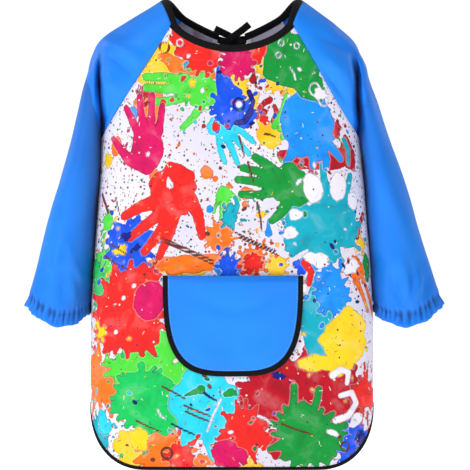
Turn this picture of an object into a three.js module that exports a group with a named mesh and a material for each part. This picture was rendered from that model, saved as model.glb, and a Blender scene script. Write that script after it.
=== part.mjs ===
// Child's long-sleeved art smock with raglan sleeves, shown as it hangs on a wearer.
// Millimetres, +Z up, front towards -Y. Heights are counted up from the hem, and the whole
// group is lowered at the end so that the middle of the neck opening is the origin.
import * as THREE from 'three';
import { ParametricGeometry } from 'three/addons/geometries/ParametricGeometry.js';
import { RoundedBoxGeometry } from 'three/addons/geometries/RoundedBoxGeometry.js';
import { mergeGeometries, mergeVertices } from 'three/addons/utils/BufferGeometryUtils.js';

// Cloth and clearances
const clothThickness = 1.6; // one layer with the room that its folds take
const seamGap = 0.4; // between two edges that are sewn together
const sideSeamGap = 0.5;
const patchGap = 0.5; // under what is sewn flat on the front panel
const bindingGap = 0.7; // between a raw edge and the binding that closes it
const foldGap = 0.8; // between the two halves of a panel that folds

// Overall length, from the hem to the top of the shoulders, and what lies below that top
const smockLength = 606;
const neckMiddleDrop = 21;
const shoulderEdgeDrop = 54.5;
const armpitDrop = 176;
const chestDrop = 226; // the torso draws in towards the neck above this
const neckHeight = smockLength - neckMiddleDrop;
const shoulderEdgeHeight = smockLength - shoulderEdgeDrop;
const armpitHeight = smockLength - armpitDrop;
const chestHeight = smockLength - chestDrop;

// Torso
const hemHalfWidth = 183.5;
const armpitHalfWidth = 167;
const straightSideHeight = 200; // the sides are parallel up to here
const widthTaperPower = 1.2;
const frontDepth = 73;
const backDepth = 60;
const drawInLength = 190;
const drawInPower = 1.8;
const frontDrawIn = 23;
const backDrawIn = 9;
const torsoFullness = 2.5; // exponent of the torso's plan, 2 is an ellipse
const hemCornerReach = 75;
const hemCornerRise = 84;
const hemCornerFullness = 2.3;

// Neck opening, raglan seams and shoulder
const neckHalfWidth = 95;
const frontNeckDrop = 62.5;
const backNeckDrop = 53;
const frontNeckFullness = 1.9;
const backNeckFullness = 1.25;
const frontSeamStart = 80.5; // half the distance between the raglan seams at the neck
const backSeamStart = 66;
const shoulderOverhang = 1.5; // the sleeve turns down this far outside the armpit
const shoulderEdge = armpitHalfWidth + shoulderOverhang;
const yokeNeckDepth = 46;
const yokeBulge = 30;
const yokeWrap = 0.1; // the arch of the yoke is at least this much deeper than its seams

// Sleeves and cuffs
const underarmDrop = 224; // from the armpit to the inner end of the cuff
const armClearance = 5; // between the hanging sleeve and the side of the torso
const underarmShares = [0, 0.17, 0.45, 0.75, 1]; // where the curve of the inner edge is held
const shoulderTurn = { out: 9.1, drop: 13.5 }; // from the shoulder edge to the straight outer edge
const cuffWidth = 81; // lying flat
const cuffSlant = 7; // the outer end of the cuff is this much higher
const armDepth = 38;
const cuffDepth = 36;
const cuffDip = 24; // the cuff hangs lower at its front and back
const cuffDipPower = 6; // how suddenly it does so
const casingWidth = 12;
const casingWall = 0.6;
const casingThickness = 3.2;
const elasticThickness = 1;
const elasticWidth = 6;

// Bindings
const neckBindingWidth = 8.5;
const hemBindingWidth = 5;
const bindingProud = 1; // how far a binding stands out from the cloth on each side
const neckLean = 0.86; // how far the neck binding leans in at the shoulder

// Back opening
const backEdgeStart = 19; // half the gap between the two back edges
const backFoldStart = 64;

// Pocket
const pocketHalfWidth = 90.7;
const pocketMiddle = 1.3;
const pocketTop = 251; // above the hem
const pocketDrop = 130;
const pocketFullness = 3.3;
const pocketGape = 9;
const pocketBindingWidth = 6.2;
const pocketFloor = 0.995; // the lowest row, as a share of the depth, keeps a short flat edge
const pocketRowPower = 1.8; // rows are closer together towards the floor
const pocketTabSize = { width: 5, height: 10, thickness: 1, drop: 11 };

// Neck tie
const tieWidth = 7.8;
const tieThickness = 1.2;
const knotSize = { width: 36.4, depth: 12, height: 18, corner: 4.5 };
const knotSag = 8; // the knot hangs this far below the middle of the binding
const tieEnds = {
  left: { reach: -23, rise: 8.6, slope: [-0.66, 0.75] },
  right: { reach: 23.4, rise: 14.5, slope: [0.7, 0.71] },
};

// Mesh steps
const seamSteps = 12;
const neckSteps = 12;
const panelRows = 14;
const flapSteps = 4;
const yokeSteps = 16;
const armRows = 14;
const armSteps = 28;
const pocketRows = 10;
const pocketColumns = 16;
const pocketBindingSteps = 36;

const { lerp, clamp } = THREE.MathUtils;

// A quarter curve from 1 at 0 to 0 at 1, as full as its exponent.
function quarter(share, fullness) {
  return Math.max(0, 1 - Math.abs(share) ** fullness) ** (1 / fullness);
}

function halfWidth(z) {
  const rise = clamp((z - straightSideHeight) / (armpitHeight - straightSideHeight), 0, 1);
  return lerp(hemHalfWidth, armpitHalfWidth, rise ** widthTaperPower);
}

function depth(face, z) {
  const rise = Math.max(0, (z - chestHeight) / drawInLength) ** drawInPower;
  return face < 0 ? frontDepth - frontDrawIn * rise : backDepth - backDrawIn * rise;
}

// A point of the torso. face is -1 at the front and 1 at the back, and share is how far out
// it is, from -1 to 1 of the half width.
function torso(face, share, z, proud) {
  const inner = sideSeamGap / 2;
  const y = inner + (depth(face, z) - inner + proud) * quarter(share, torsoFullness);
  return new THREE.Vector3((halfWidth(z) + proud) * share, face * y, z);
}

function hemHeight(share) {
  const into = Math.max(0, Math.abs(share) * hemHalfWidth - (hemHalfWidth - hemCornerReach));
  return hemCornerRise * (1 - quarter(into / hemCornerReach, hemCornerFullness));
}

function neckEdgeHeight(face, share) {
  const out = (Math.abs(share) * armpitHalfWidth) / neckHalfWidth;
  const drop = face < 0 ? frontNeckDrop : backNeckDrop;
  return smockLength - drop * quarter(out, face < 0 ? frontNeckFullness : backNeckFullness);
}

function seamStart(face) {
  return (face < 0 ? frontSeamStart : backSeamStart) / armpitHalfWidth;
}

// The raglan seam, from the neck at 0 to the armpit at 1.
function seamShare(face, along) {
  return lerp(seamStart(face), 1, along);
}

function seamHeight(face, share) {
  const start = seamStart(face);
  const along = (Math.abs(share) - start) / (1 - start);
  return lerp(neckEdgeHeight(face, start), armpitHeight, along);
}

function panelTop(face, share) {
  if (Math.abs(share) < seamStart(face)) {
    return neckEdgeHeight(face, share);
  }
  return seamHeight(face, share) - seamGap;
}

// Steps along a seam, closer together towards the armpit.
function seamAlong(step) {
  return Math.sin((Math.PI / 2) * (step / seamSteps));
}

function steps(count, from, to) {
  return Array.from({ length: count + 1 }, (_, i) => lerp(from, to, i / count));
}

function sideShares(face) {
  return Array.from({ length: seamSteps + 1 }, (_, i) => seamShare(face, seamAlong(i)));
}

// Joins patches into one closed solid that faces out.
function solidFrom(patches) {
  for (const face of patches) {
    face.deleteAttribute('normal');
    face.deleteAttribute('uv');
  }
  const solid = mergeVertices(mergeGeometries(patches), 1e-4);
  const place = solid.getAttribute('position');
  const index = solid.getIndex();
  const kept = [];
  let volume = 0;
  const corner = [new THREE.Vector3(), new THREE.Vector3(), new THREE.Vector3()];
  for (let i = 0; i < index.count; i += 3) {
    const [a, b, c] = [index.getX(i), index.getX(i + 1), index.getX(i + 2)];
    if (a === b || b === c || c === a) {
      continue;
    }
    kept.push(a, b, c);
    corner[0].fromBufferAttribute(place, a);
    corner[1].fromBufferAttribute(place, b);
    corner[2].fromBufferAttribute(place, c);
    volume += corner[0].dot(corner[1].cross(corner[2]));
  }
  solid.setIndex(volume < 0 ? kept.reverse() : kept);
  solid.computeVertexNormals();
  return solid;
}

function patch(columns, rows, place) {
  return new ParametricGeometry((u, v, target) => target.copy(place(u, v)), columns, rows);
}

// A sheet with a thickness: point(u, v, w) with w from 0 inside to 1 outside.
function sheet(columns, rows, point) {
  return solidFrom([
    patch(columns, rows, (u, v) => point(u, v, 1)),
    patch(rows, columns, (v, u) => point(u, v, 0)),
    patch(1, rows, (w, v) => point(0, v, w)),
    patch(rows, 1, (v, w) => point(1, v, w)),
    patch(columns, 1, (u, w) => point(u, 0, w)),
    patch(1, columns, (w, u) => point(u, 1, w)),
  ]);
}

// A closed loop of a closed outline: corners are [along, inset] pairs.
function loop(corners, count, point) {
  const last = corners.length;
  return solidFrom([
    patch(last, count, (u, v) => {
      const [along, inset] = corners[Math.round(u * last) % last];
      return point((Math.round(v * count) % count) / count, along, inset);
    }),
  ]);
}

function at(list, u) {
  return list[Math.round(u * (list.length - 1))];
}

// A body panel between its lower edge and its top edge.
function panel(face, shares) {
  return sheet(shares.length - 1, panelRows, (u, v, w) => {
    const share = at(shares, u);
    const bottom = hemHeight(share) + hemBindingWidth + bindingGap;
    return torso(face, share, lerp(bottom, panelTop(face, share), v), (w - 1) * clothThickness);
  });
}

function hemBinding(face, shares) {
  return sheet(shares.length - 1, 1, (u, v, w) => {
    const share = at(shares, u);
    const proud = lerp(-clothThickness - bindingProud, bindingProud, w);
    return torso(face, share, hemHeight(share) + v * hemBindingWidth, proud);
  });
}

// The shoulder part of a sleeve: arches from the front seam over the shoulder to the back
// seam. along runs from the neck to the shoulder edge, and round from -1 to 1.
function yokePoint(along, round, inset) {
  const face = round < 0 ? -1 : 1;
  const share = seamShare(face, along);
  const seam = torso(face, share, seamHeight(face, share), 0);
  const ridgeX = lerp(neckHalfWidth, shoulderEdge, along);
  const ridgeZ = lerp(smockLength, shoulderEdgeHeight, along);
  const bulge = lerp(yokeNeckDepth, armDepth, along) + yokeBulge * along * (1 - along);
  const side = Math.abs(seam.y);
  const b = Math.max(bulge, side + yokeWrap);
  const end = Math.PI - Math.asin(side / b);
  const h = (ridgeZ - seam.z) / (1 - Math.cos(end));
  const angle = end * Math.abs(round);
  return new THREE.Vector3(
    lerp(ridgeX, seam.x, round * round),
    face * (b - inset) * Math.sin(angle),
    ridgeZ - h + (h - inset) * Math.cos(angle),
  );
}

function sleeveShoulder(side) {
  return sheet(seamSteps, yokeSteps, (u, v, w) => {
    const along = seamAlong(Math.round(u * seamSteps));
    const point = yokePoint(along, 2 * v - 1, (1 - w) * clothThickness);
    point.x *= side;
    return point;
  });
}

const armStart = shoulderEdge + seamGap;

// The inner edge leaves the armpit and then keeps its clearance from the torso.
const innerEdge = new THREE.CatmullRomCurve3(
  underarmShares.map((share) => {
    const z = armpitHeight - underarmDrop * share;
    return new THREE.Vector3(share > 0 ? halfWidth(z) + armClearance : armStart, 0, z);
  }),
);
const cuffInner = innerEdge.getPoint(1);
const cuffOuter = new THREE.Vector3(cuffInner.x + cuffWidth, 0, cuffInner.z + cuffSlant);
const shoulderTurnEnd = new THREE.Vector3(
  armStart + shoulderTurn.out,
  0,
  shoulderEdgeHeight - shoulderTurn.drop,
);
const outerEdge = new THREE.CatmullRomCurve3([
  new THREE.Vector3(armStart, 0, shoulderEdgeHeight),
  ...steps(3, 0, 1).map((share) => shoulderTurnEnd.clone().lerp(cuffOuter, share)),
]);
const armLength = innerEdge.getLength();

// A point of the arm: along from the shoulder edge at 0 to the end of the cuff at 1.
function armPoint(side, around, along, inset) {
  const angle = 2 * Math.PI * around;
  const outer = outerEdge.getPointAt(clamp(along, 0, 1));
  const inner = innerEdge.getPointAt(clamp(along, 0, 1));
  const middle = outer.clone().add(inner).multiplyScalar(0.5);
  const across = outer.clone().sub(inner).multiplyScalar(0.5);
  across.setLength(across.length() - inset);
  const point = middle.addScaledVector(across, Math.cos(angle));
  point.y = (lerp(armDepth, cuffDepth, along) - inset) * Math.sin(angle);
  point.z -= cuffDip * along ** cuffDipPower * Math.sin(angle) ** 2;
  point.x *= side;
  return point;
}

const casingStart = 1 - casingWidth / armLength;
const elasticStart = 1 - (casingWidth + elasticWidth) / 2 / armLength;
const elasticEnd = elasticStart + elasticWidth / armLength;

function sleeveArm(side) {
  const last = casingStart - bindingGap / armLength;
  const rows = steps(armRows, 0, last);
  const corners = [
    ...rows.map((along) => [along, 0]),
    ...rows.toReversed().map((along) => [along, clothThickness]),
  ];
  return loop(corners, armSteps, (around, along, inset) => armPoint(side, around, along, inset));
}

function cuffCasing(side) {
  const fold = casingWall / armLength;
  const corners = [
    [casingStart, 0],
    [1, 0],
    [1, casingThickness],
    [casingStart, casingThickness],
    [casingStart, casingThickness - casingWall],
    [1 - fold, casingThickness - casingWall],
    [1 - fold, casingWall],
    [casingStart, casingWall],
  ];
  return loop(corners, armSteps, (around, along, inset) => armPoint(side, around, along, inset));
}

function cuffElastic(side) {
  const outer = (casingThickness - elasticThickness) / 2;
  const corners = [
    [elasticStart, outer],
    [elasticEnd, outer],
    [elasticEnd, outer + elasticThickness],
    [elasticStart, outer + elasticThickness],
  ];
  return loop(corners, armSteps, (around, along, inset) => armPoint(side, around, along, inset));
}

// The middle of the cloth along the neck edge of a body panel.
function panelNeckPoint(face, share) {
  return torso(face, share, neckEdgeHeight(face, share), -clothThickness / 2);
}

// A flat binding along an edge. The path runs anticlockwise as seen from above.
function neckBindingAlong(path) {
  return sheet(path.length - 1, 1, (u, v, w) => {
    const i = Math.round(u * (path.length - 1));
    const before = path[Math.max(i - 1, 0)];
    const after = path[Math.min(i + 1, path.length - 1)];
    const leanX = (-neckLean * path[i].x) / neckHalfWidth;
    const up = new THREE.Vector3(leanX, 0, Math.sqrt(1 - leanX * leanX));
    const out = after.clone().sub(before).cross(up).normalize();
    const proud = (w - 0.5) * (clothThickness + 2 * bindingProud);
    const height = bindingGap + v * neckBindingWidth;
    return path[i].clone().addScaledVector(up, height).addScaledVector(out, proud);
  });
}

function yokeNeckPath() {
  return steps(yokeSteps, -1, 1).map((round) => yokePoint(0, round, clothThickness / 2));
}

const foldShare = backFoldStart / armpitHalfWidth;
const edgeShare = backEdgeStart / armpitHalfWidth;
const halfFold = foldGap / 2 / armpitHalfWidth;

function mirrored(points) {
  return points.map((point) => new THREE.Vector3(-point.x, point.y, point.z)).toReversed();
}

function neckBinding() {
  const start = seamStart(-1);
  const front = steps(neckSteps, -start, start).map((share) => panelNeckPoint(-1, share));
  const right = [...yokeNeckPath().slice(1), panelNeckPoint(1, foldShare + halfFold)];
  return neckBindingAlong([...mirrored(right), ...front, ...right]);
}

function flapNeckBinding(side) {
  const shares = steps(flapSteps, foldShare - halfFold, edgeShare);
  const path = shares.map((share) => panelNeckPoint(1, share));
  return neckBindingAlong(side > 0 ? path : mirrored(path));
}

// Where a flat piece lies on the front panel, proud of it.
function onFront(x, z, proud) {
  return torso(-1, x / halfWidth(z), z, proud);
}

function pocketGapeAt(x, z) {
  const across = clamp((x - pocketMiddle) / pocketHalfWidth, -1, 1);
  const down = clamp((pocketTop - z) / pocketDrop, 0, 1);
  return pocketGape * (1 - across * across) * (1 - down ** 2);
}

function pocketPanel() {
  const inset = pocketBindingWidth + bindingGap;
  return sheet(pocketColumns, pocketRows, (u, v, w) => {
    const down = pocketFloor * (1 - v ** pocketRowPower);
    const half = (pocketHalfWidth - inset) * quarter(down, pocketFullness);
    const x = pocketMiddle + half * (2 * u - 1);
    const z = pocketTop - (pocketDrop - inset) * down;
    return onFront(x, z, patchGap + pocketGapeAt(x, z) + w * clothThickness);
  });
}

function pocketBinding() {
  return sheet(pocketBindingSteps, 1, (u, v, w) => {
    const angle = Math.PI * (1 - u);
    const c = Math.cos(angle);
    const inset = pocketBindingWidth * (1 - v);
    const power = 2 / pocketFullness;
    const x = pocketMiddle + (pocketHalfWidth - inset) * Math.sign(c) * Math.abs(c) ** power;
    const z = pocketTop - (pocketDrop - inset) * Math.abs(Math.sin(angle)) ** power;
    const proud = patchGap + w * (clothThickness + bindingProud);
    return onFront(x, z, proud + pocketGapeAt(x, z));
  });
}

function pocketTab() {
  const { width, height, thickness, drop } = pocketTabSize;
  const start = pocketMiddle + pocketHalfWidth + bindingGap;
  const bottom = pocketTop - drop - height;
  return sheet(2, 2, (u, v, w) => {
    return onFront(start + u * width, bottom + v * height, patchGap + w * thickness);
  });
}

const knotHeight = neckEdgeHeight(1, edgeShare) + neckBindingWidth / 2 - knotSag;
const knotTop = knotHeight + knotSize.height / 2;
const knotDepth = torso(1, 0, knotHeight, -clothThickness / 2).y;
const tieDepth = knotDepth + clothThickness / 2 + bindingProud + seamGap + tieThickness / 2;

// The free end of a tie, from the top of the knot to its tip.
function tieEnd({ reach, rise, slope }) {
  const up = new THREE.Vector3(slope[0], 0, slope[1]).normalize();
  const foot = seamGap + (tieWidth / 2) * Math.abs(up.x);
  const length = (rise - foot) / up.z;
  const tape = new THREE.BoxGeometry(tieWidth, tieThickness, length);
  const back = new THREE.Vector3(0, 1, 0);
  const turn = new THREE.Matrix4().makeBasis(back.clone().cross(up), back, up);
  turn.setPosition(reach - (up.x * length) / 2, tieDepth, knotTop + (rise + foot) / 2);
  return solidFrom([tape.applyMatrix4(turn)]);
}

const looks = {
  print: { color: 0xf1eef4, roughness: 0.82, metalness: 0 },
  sleeve: { color: 0x1c86ee, roughness: 0.78, metalness: 0 },
  binding: { color: 0x101014, roughness: 0.85, metalness: 0 },
  elastic: { color: 0xe8e8e8, roughness: 0.9, metalness: 0 },
  tab: { color: 0xfafafa, roughness: 0.8, metalness: 0 },
};

const smock = new THREE.Group();
smock.position.z = -neckHeight;

function add(name, look, geometry) {
  const mesh = new THREE.Mesh(geometry, new THREE.MeshStandardMaterial(looks[look]));
  mesh.name = name;
  smock.add(mesh);
  return mesh;
}

const frontSide = sideShares(-1);
const frontMiddle = steps(neckSteps, -seamStart(-1), seamStart(-1)).slice(1, -1);
const frontShares = [...frontSide.toReversed().map((share) => -share), ...frontMiddle, ...frontSide];
add('front_panel', 'print', panel(-1, frontShares));
add('front_hem_binding', 'binding', hemBinding(-1, frontShares));
add('neck_binding', 'binding', neckBinding());
add('pocket_panel', 'sleeve', pocketPanel());
add('pocket_binding', 'binding', pocketBinding());
add('pocket_tab', 'tab', pocketTab());

for (const [name, side] of [['left', -1], ['right', 1]]) {
  const fixedShares = [foldShare + halfFold, ...sideShares(1)].map((share) => share * side);
  const flapShares = steps(flapSteps, edgeShare, foldShare - halfFold).map((share) => share * side);
  add(`${name}_back_panel`, 'print', panel(1, fixedShares));
  add(`${name}_back_hem_binding`, 'binding', hemBinding(1, fixedShares));
  add(`${name}_back_flap`, 'print', panel(1, flapShares));
  add(`${name}_flap_hem_binding`, 'binding', hemBinding(1, flapShares));
  add(`${name}_flap_neck_binding`, 'binding', flapNeckBinding(side));
  add(`${name}_sleeve_shoulder`, 'sleeve', sleeveShoulder(side));
  add(`${name}_sleeve_arm`, 'sleeve', sleeveArm(side));
  add(`${name}_cuff_casing`, 'sleeve', cuffCasing(side));
  add(`${name}_cuff_elastic`, 'elastic', cuffElastic(side));
  add(`${name}_neck_tie`, 'binding', tieEnd(tieEnds[name]));
}

const { width, depth: across, height, corner } = knotSize;
const knotBox = new RoundedBoxGeometry(width, across, height, 2, corner);
const knot = add('neck_tie_knot', 'binding', solidFrom([knotBox]));
knot.position.set(0, knotDepth, knotHeight);

export default smock;
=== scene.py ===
import math
import random
import bpy
import numpy as np
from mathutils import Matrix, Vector


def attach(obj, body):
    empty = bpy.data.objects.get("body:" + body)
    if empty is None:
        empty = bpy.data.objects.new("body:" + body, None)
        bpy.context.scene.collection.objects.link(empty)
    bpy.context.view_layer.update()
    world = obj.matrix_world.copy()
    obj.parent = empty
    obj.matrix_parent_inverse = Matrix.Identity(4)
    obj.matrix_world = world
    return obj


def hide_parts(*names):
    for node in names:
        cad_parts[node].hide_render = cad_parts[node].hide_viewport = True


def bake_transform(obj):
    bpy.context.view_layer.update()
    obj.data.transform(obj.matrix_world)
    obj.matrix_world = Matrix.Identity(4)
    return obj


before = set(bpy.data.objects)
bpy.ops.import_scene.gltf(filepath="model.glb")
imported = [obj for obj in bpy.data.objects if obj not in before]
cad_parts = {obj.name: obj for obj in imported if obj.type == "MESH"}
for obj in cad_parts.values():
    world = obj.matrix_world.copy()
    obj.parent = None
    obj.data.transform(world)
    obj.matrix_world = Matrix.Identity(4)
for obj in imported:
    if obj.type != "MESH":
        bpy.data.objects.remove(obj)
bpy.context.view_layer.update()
bpy.ops.object.select_all(action="DESELECT")
print("frame loaded")

# camera, level and far away, looking at the front
shot = {"across": 0.611, "distance": 9.0, "middle": (0.0039, -0.2815), "sensor": 36, "clipEnd": 60}


def makeCamera():
    data = bpy.data.cameras.new("camera")
    data.sensor_width = shot["sensor"]
    data.lens = shot["sensor"] * shot["distance"] / shot["across"]
    data.clip_end = shot["clipEnd"]
    camera = bpy.data.objects.new("camera", data)
    bpy.context.collection.objects.link(camera)
    camera.location = (shot["middle"][0], -shot["distance"], shot["middle"][1])
    camera.rotation_euler = (math.radians(90), 0, 0)
    bpy.context.scene.camera = camera


makeCamera()

# the cut of the smock, in mm, with heights counted up from the hem
cut = {
    "neckHeight": 585, "length": 606, "hemHalf": 183.5, "armpitHalf": 167, "straightTo": 200,
    "armpit": 430, "taper": 1.2, "frontDepth": 73, "backDepth": 60, "chest": 380, "drawLength": 190,
    "drawPower": 1.8, "frontDraw": 23, "backDraw": 9, "fullness": 2.5, "cornerReach": 75,
    "cornerRise": 84, "cornerFullness": 2.3, "neckHalf": 95, "frontDrop": 65.5, "backDrop": 53,
    "frontNeckFullness": 1.9, "backNeckFullness": 1.25, "frontSeam": 80.5, "backSeam": 66,
    "backEdge": 19, "backFold": 64, "cloth": 1.1, "neckLean": 0.86, "thinEdge": 0.2,
    "hemRise": 1.5, "neckRise": 3,
}


# millimetres to metres, the full turn that the waves use, and what each side is called
mm = 0.001
fullTurn = 6.283
sideNames = {-1: "left", 1: "right"}


def mixed(a, b, t):
    return a + (b - a) * t


def smooth(x, low, high):
    t = np.clip((np.asarray(x, float) - low) / (high - low), 0, 1)
    return t * t * (3 - 2 * t)


def quarter(share, fullness):
    return np.maximum(0, 1 - np.abs(share) ** fullness) ** (1 / fullness)


def halfWidth(z):
    rise = np.clip((z - cut["straightTo"]) / (cut["armpit"] - cut["straightTo"]), 0, 1)
    return mixed(cut["hemHalf"], cut["armpitHalf"], rise ** cut["taper"])


def torsoDepth(face, z):
    rise = np.maximum(0, (z - cut["chest"]) / cut["drawLength"]) ** cut["drawPower"]
    if face < 0:
        return cut["frontDepth"] - cut["frontDraw"] * rise
    return cut["backDepth"] - cut["backDraw"] * rise


def softWaves(x, z, longest, seed):
    # a smooth random surface from -1 to 1, made of a few crossing waves
    draw = random.Random(seed)
    total = 0
    for i in range(7):
        turn = draw.uniform(0, math.pi)
        length = longest * draw.uniform(0.45, 1)
        phase = draw.uniform(0, fullTurn)
        total = total + np.sin(fullTurn * (x * math.cos(turn) + z * math.sin(turn)) / length + phase)
    return total / 4


def lineFold(x, z, points, height, width):
    # a ridge or valley along a broken line, fading out at both ends
    best = np.full(np.shape(x), 1e9)
    share = np.zeros(np.shape(x))
    count = len(points) - 1
    for i in range(count):
        (ax, az), (bx, bz) = points[i], points[i + 1]
        dx, dz = bx - ax, bz - az
        t = np.clip(((x - ax) * dx + (z - az) * dz) / (dx * dx + dz * dz), 0, 1)
        far = np.hypot(x - ax - t * dx, z - az - t * dz)
        share = np.where(far < best, (i + t) / count, share)
        best = np.minimum(best, far)
    return height * np.exp(-(best / width) ** 2) * np.sin(np.pi * np.clip(share, 0.02, 0.98)) ** 0.6


# long soft folds of the body: points, height and width
frontFolds = [
    ([(-160, 425), (-120, 380), (-95, 300)], 2.6, 13), ([(-165, 400), (-140, 330), (-132, 250)], -2.2, 11),
    ([(158, 428), (128, 392), (96, 330)], 2.8, 13), ([(166, 400), (150, 330), (146, 215)], -2.6, 11),
    ([(-60, 545), (-30, 500), (-22, 420)], 1.6, 15), ([(62, 548), (40, 500), (30, 430)], 1.7, 15),
    ([(-150, 150), (-140, 70), (-136, 12)], 3.0, 15), ([(-112, 190), (-108, 90), (-112, 8)], -2.4, 14),
    ([(145, 190), (150, 90), (144, 20)], 2.6, 14), ([(112, 160), (116, 80), (108, 8)], -2.6, 13),
    ([(-40, 110), (-46, 60), (-44, 4)], 1.7, 18), ([(34, 110), (30, 60), (36, 4)], -1.6, 18),
    ([(-88, 250), (-60, 262), (-20, 268)], 1.2, 10), ([(92, 250), (60, 264), (30, 270)], 1.2, 10),
]


def ripple(face, x, z):
    # how far the body's cloth stands proud of its plain shape
    if face > 0:
        x = -x
    total = 1.1 * softWaves(x, z, 190, 3 if face < 0 else 8)
    for points, height, width in frontFolds:
        total = total + lineFold(x, z, points, height, width)
    calm = smooth(cut["hemHalf"] - np.abs(x), 0, 28) * (1 - 0.75 * smooth(z, 520, 570))
    return total * calm


# the garment hangs a little to one side at the shoulders, and to the other at the cuffs
sway = {
    "middle": 375, "rise": 174, "fall": 162, "upper": (92, 160), "lower": (186, 216), "left": 6.5, "right": 2.6,
}


def settled(x, z):
    up = np.clip((z - sway["middle"]) / sway["rise"], 0, 1) * smooth(np.abs(x), *sway["upper"])
    down = np.clip((sway["middle"] - z) / sway["fall"], 0, 1) * smooth(np.abs(x), *sway["lower"])
    return x - sway["left"] * up + sway["right"] * down


def spots(x, y, z):
    # mm and heights from the hem, to metres in the shared frame
    x, y, z = np.broadcast_arrays(x, y, z)
    return np.stack([settled(x, z), y, z - cut["neckHeight"]], -1) * mm


def torso(face, share, z, proud=0.0, folded=True):
    share, z = np.broadcast_arrays(np.asarray(share, float), np.asarray(z, float))
    x = halfWidth(z) * share
    if folded:
        proud = proud + ripple(face, x, z)
    out = quarter(share, cut["fullness"])
    y = cut["thinEdge"] + (torsoDepth(face, z) - cut["thinEdge"] + proud) * out
    return spots(x + np.minimum(proud, 3) * share * (1 - out), face * y, z)


def hemHeight(share):
    into = np.maximum(0, np.abs(share) * cut["hemHalf"] - (cut["hemHalf"] - cut["cornerReach"]))
    return cut["cornerRise"] * (1 - quarter(into / cut["cornerReach"], cut["cornerFullness"]))


def neckEdge(face, share):
    out = np.abs(share) * cut["armpitHalf"] / cut["neckHalf"]
    if face < 0:
        return cut["length"] - cut["frontDrop"] * quarter(out, cut["frontNeckFullness"])
    return cut["length"] - cut["backDrop"] * quarter(out, cut["backNeckFullness"])


def seamStart(face):
    return (cut["frontSeam"] if face < 0 else cut["backSeam"]) / cut["armpitHalf"]


def seamHeight(face, share):
    start = seamStart(face)
    along = (np.abs(share) - start) / (1 - start)
    return mixed(neckEdge(face, start), cut["armpit"], along)


def panelTop(face, share):
    inside = np.abs(share) < seamStart(face)
    return np.where(inside, neckEdge(face, share) + cut["neckRise"], seamHeight(face, share))


def arcTable(face):
    # share of the half width, and how far along the cloth that is
    angles = np.linspace(0, math.pi / 2, 4000)
    share = np.sin(angles) ** (2 / cut["fullness"])
    y = torsoDepth(face, 300.0) * np.cos(angles) ** (2 / cut["fullness"])
    x = cut["hemHalf"] * share
    along = np.concatenate([[0], np.cumsum(np.hypot(np.diff(x), np.diff(y)))])
    return share, along


arcs = {face: arcTable(face) for face in (-1, 1)}


def arcAt(face, share):
    known, along = arcs[face]
    return np.sign(share) * np.interp(np.abs(share), known, along)


def shareAt(face, arc):
    known, along = arcs[face]
    return np.sign(arc) * np.interp(np.abs(arc), along, known)


# making meshes
def makeMesh(name, points, faces, uv=None):
    # uv is each point's place on the flat cloth, in metres
    mesh = bpy.data.meshes.new(name)
    mesh.from_pydata(points.tolist(), [], faces)
    if uv is not None:
        layer = mesh.uv_layers.new(name="cloth")
        index = np.empty(len(mesh.loops), dtype=np.int32)
        mesh.loops.foreach_get("vertex_index", index)
        layer.data.foreach_set("uv", uv[index].astype(np.float32).ravel())
    mesh.update()
    mesh.shade_smooth()
    piece = bpy.data.objects.new(name, mesh)
    bpy.context.collection.objects.link(piece)
    return piece


def clothUv(across, up, shape):
    # places on the flat cloth, given in mm
    return np.stack([np.broadcast_to(across, shape), np.broadcast_to(up, shape)], -1) * mm


def gridMesh(name, points, uv=None, closed=False, flip=False):
    # a sheet from rows and columns of points. closed joins the last column to the first
    rows, columns = points.shape[:2]
    last = columns if closed else columns - 1
    faces = []
    for r in range(rows - 1):
        for c in range(last):
            d = (c + 1) % columns
            quad = (r * columns + c, r * columns + d, (r + 1) * columns + d, (r + 1) * columns + c)
            faces.append(quad[::-1] if flip else quad)
    return makeMesh(name, points.reshape(-1, 3), faces, None if uv is None else uv.reshape(-1, 2))


def selectOnly(piece):
    bpy.ops.object.select_all(action="DESELECT")
    piece.select_set(True)
    bpy.context.view_layer.objects.active = piece


def applyAll(piece):
    selectOnly(piece)
    for modifier in list(piece.modifiers):
        bpy.ops.object.modifier_apply(modifier=modifier.name)
    piece.select_set(False)


def joinSeam(piece, reach=0.00002):
    # makes one point of those that lie on each other
    join = piece.modifiers.new("join", "WELD")
    join.merge_threshold = reach
    applyAll(piece)


def thicken(piece, thickness, offset=-1.0, inside=0, rim=0):
    wall = piece.modifiers.new("thickness", "SOLIDIFY")
    wall.thickness = thickness * mm
    wall.offset = offset
    wall.use_quality_normals = True
    wall.material_offset = inside
    wall.material_offset_rim = rim
    applyAll(piece)


def addAttribute(piece, name, values):
    layer = piece.data.attributes.new(name, "FLOAT", "POINT")
    layer.data.foreach_set("value", np.asarray(values, np.float32).ravel())


def give(piece, material, *more):
    for each in (material, *more):
        piece.data.materials.append(each)


def unit(v):
    return v / np.maximum(np.linalg.norm(v, axis=-1, keepdims=True), 1e-12)


def lengthAlong(path):
    # how far along a path each of its points lies
    return np.concatenate([[0], np.cumsum(np.linalg.norm(np.diff(path, axis=0), axis=1))])


def sampled(path, far, places):
    return np.stack([np.interp(places, far, path[:, i]) for i in range(path.shape[1])], -1)


def tangents(path):
    ahead = np.roll(path, -1, 0)
    behind = np.roll(path, 1, 0)
    ahead[-1], behind[0] = path[-1], path[0]
    return unit(ahead - behind)


def outward(piece):
    # turns every face of a closed piece outwards
    selectOnly(piece)
    bpy.ops.object.mode_set(mode="EDIT")
    bpy.ops.mesh.select_all(action="SELECT")
    bpy.ops.mesh.normals_make_consistent(inside=False)
    bpy.ops.object.mode_set(mode="OBJECT")
    piece.select_set(False)


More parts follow.
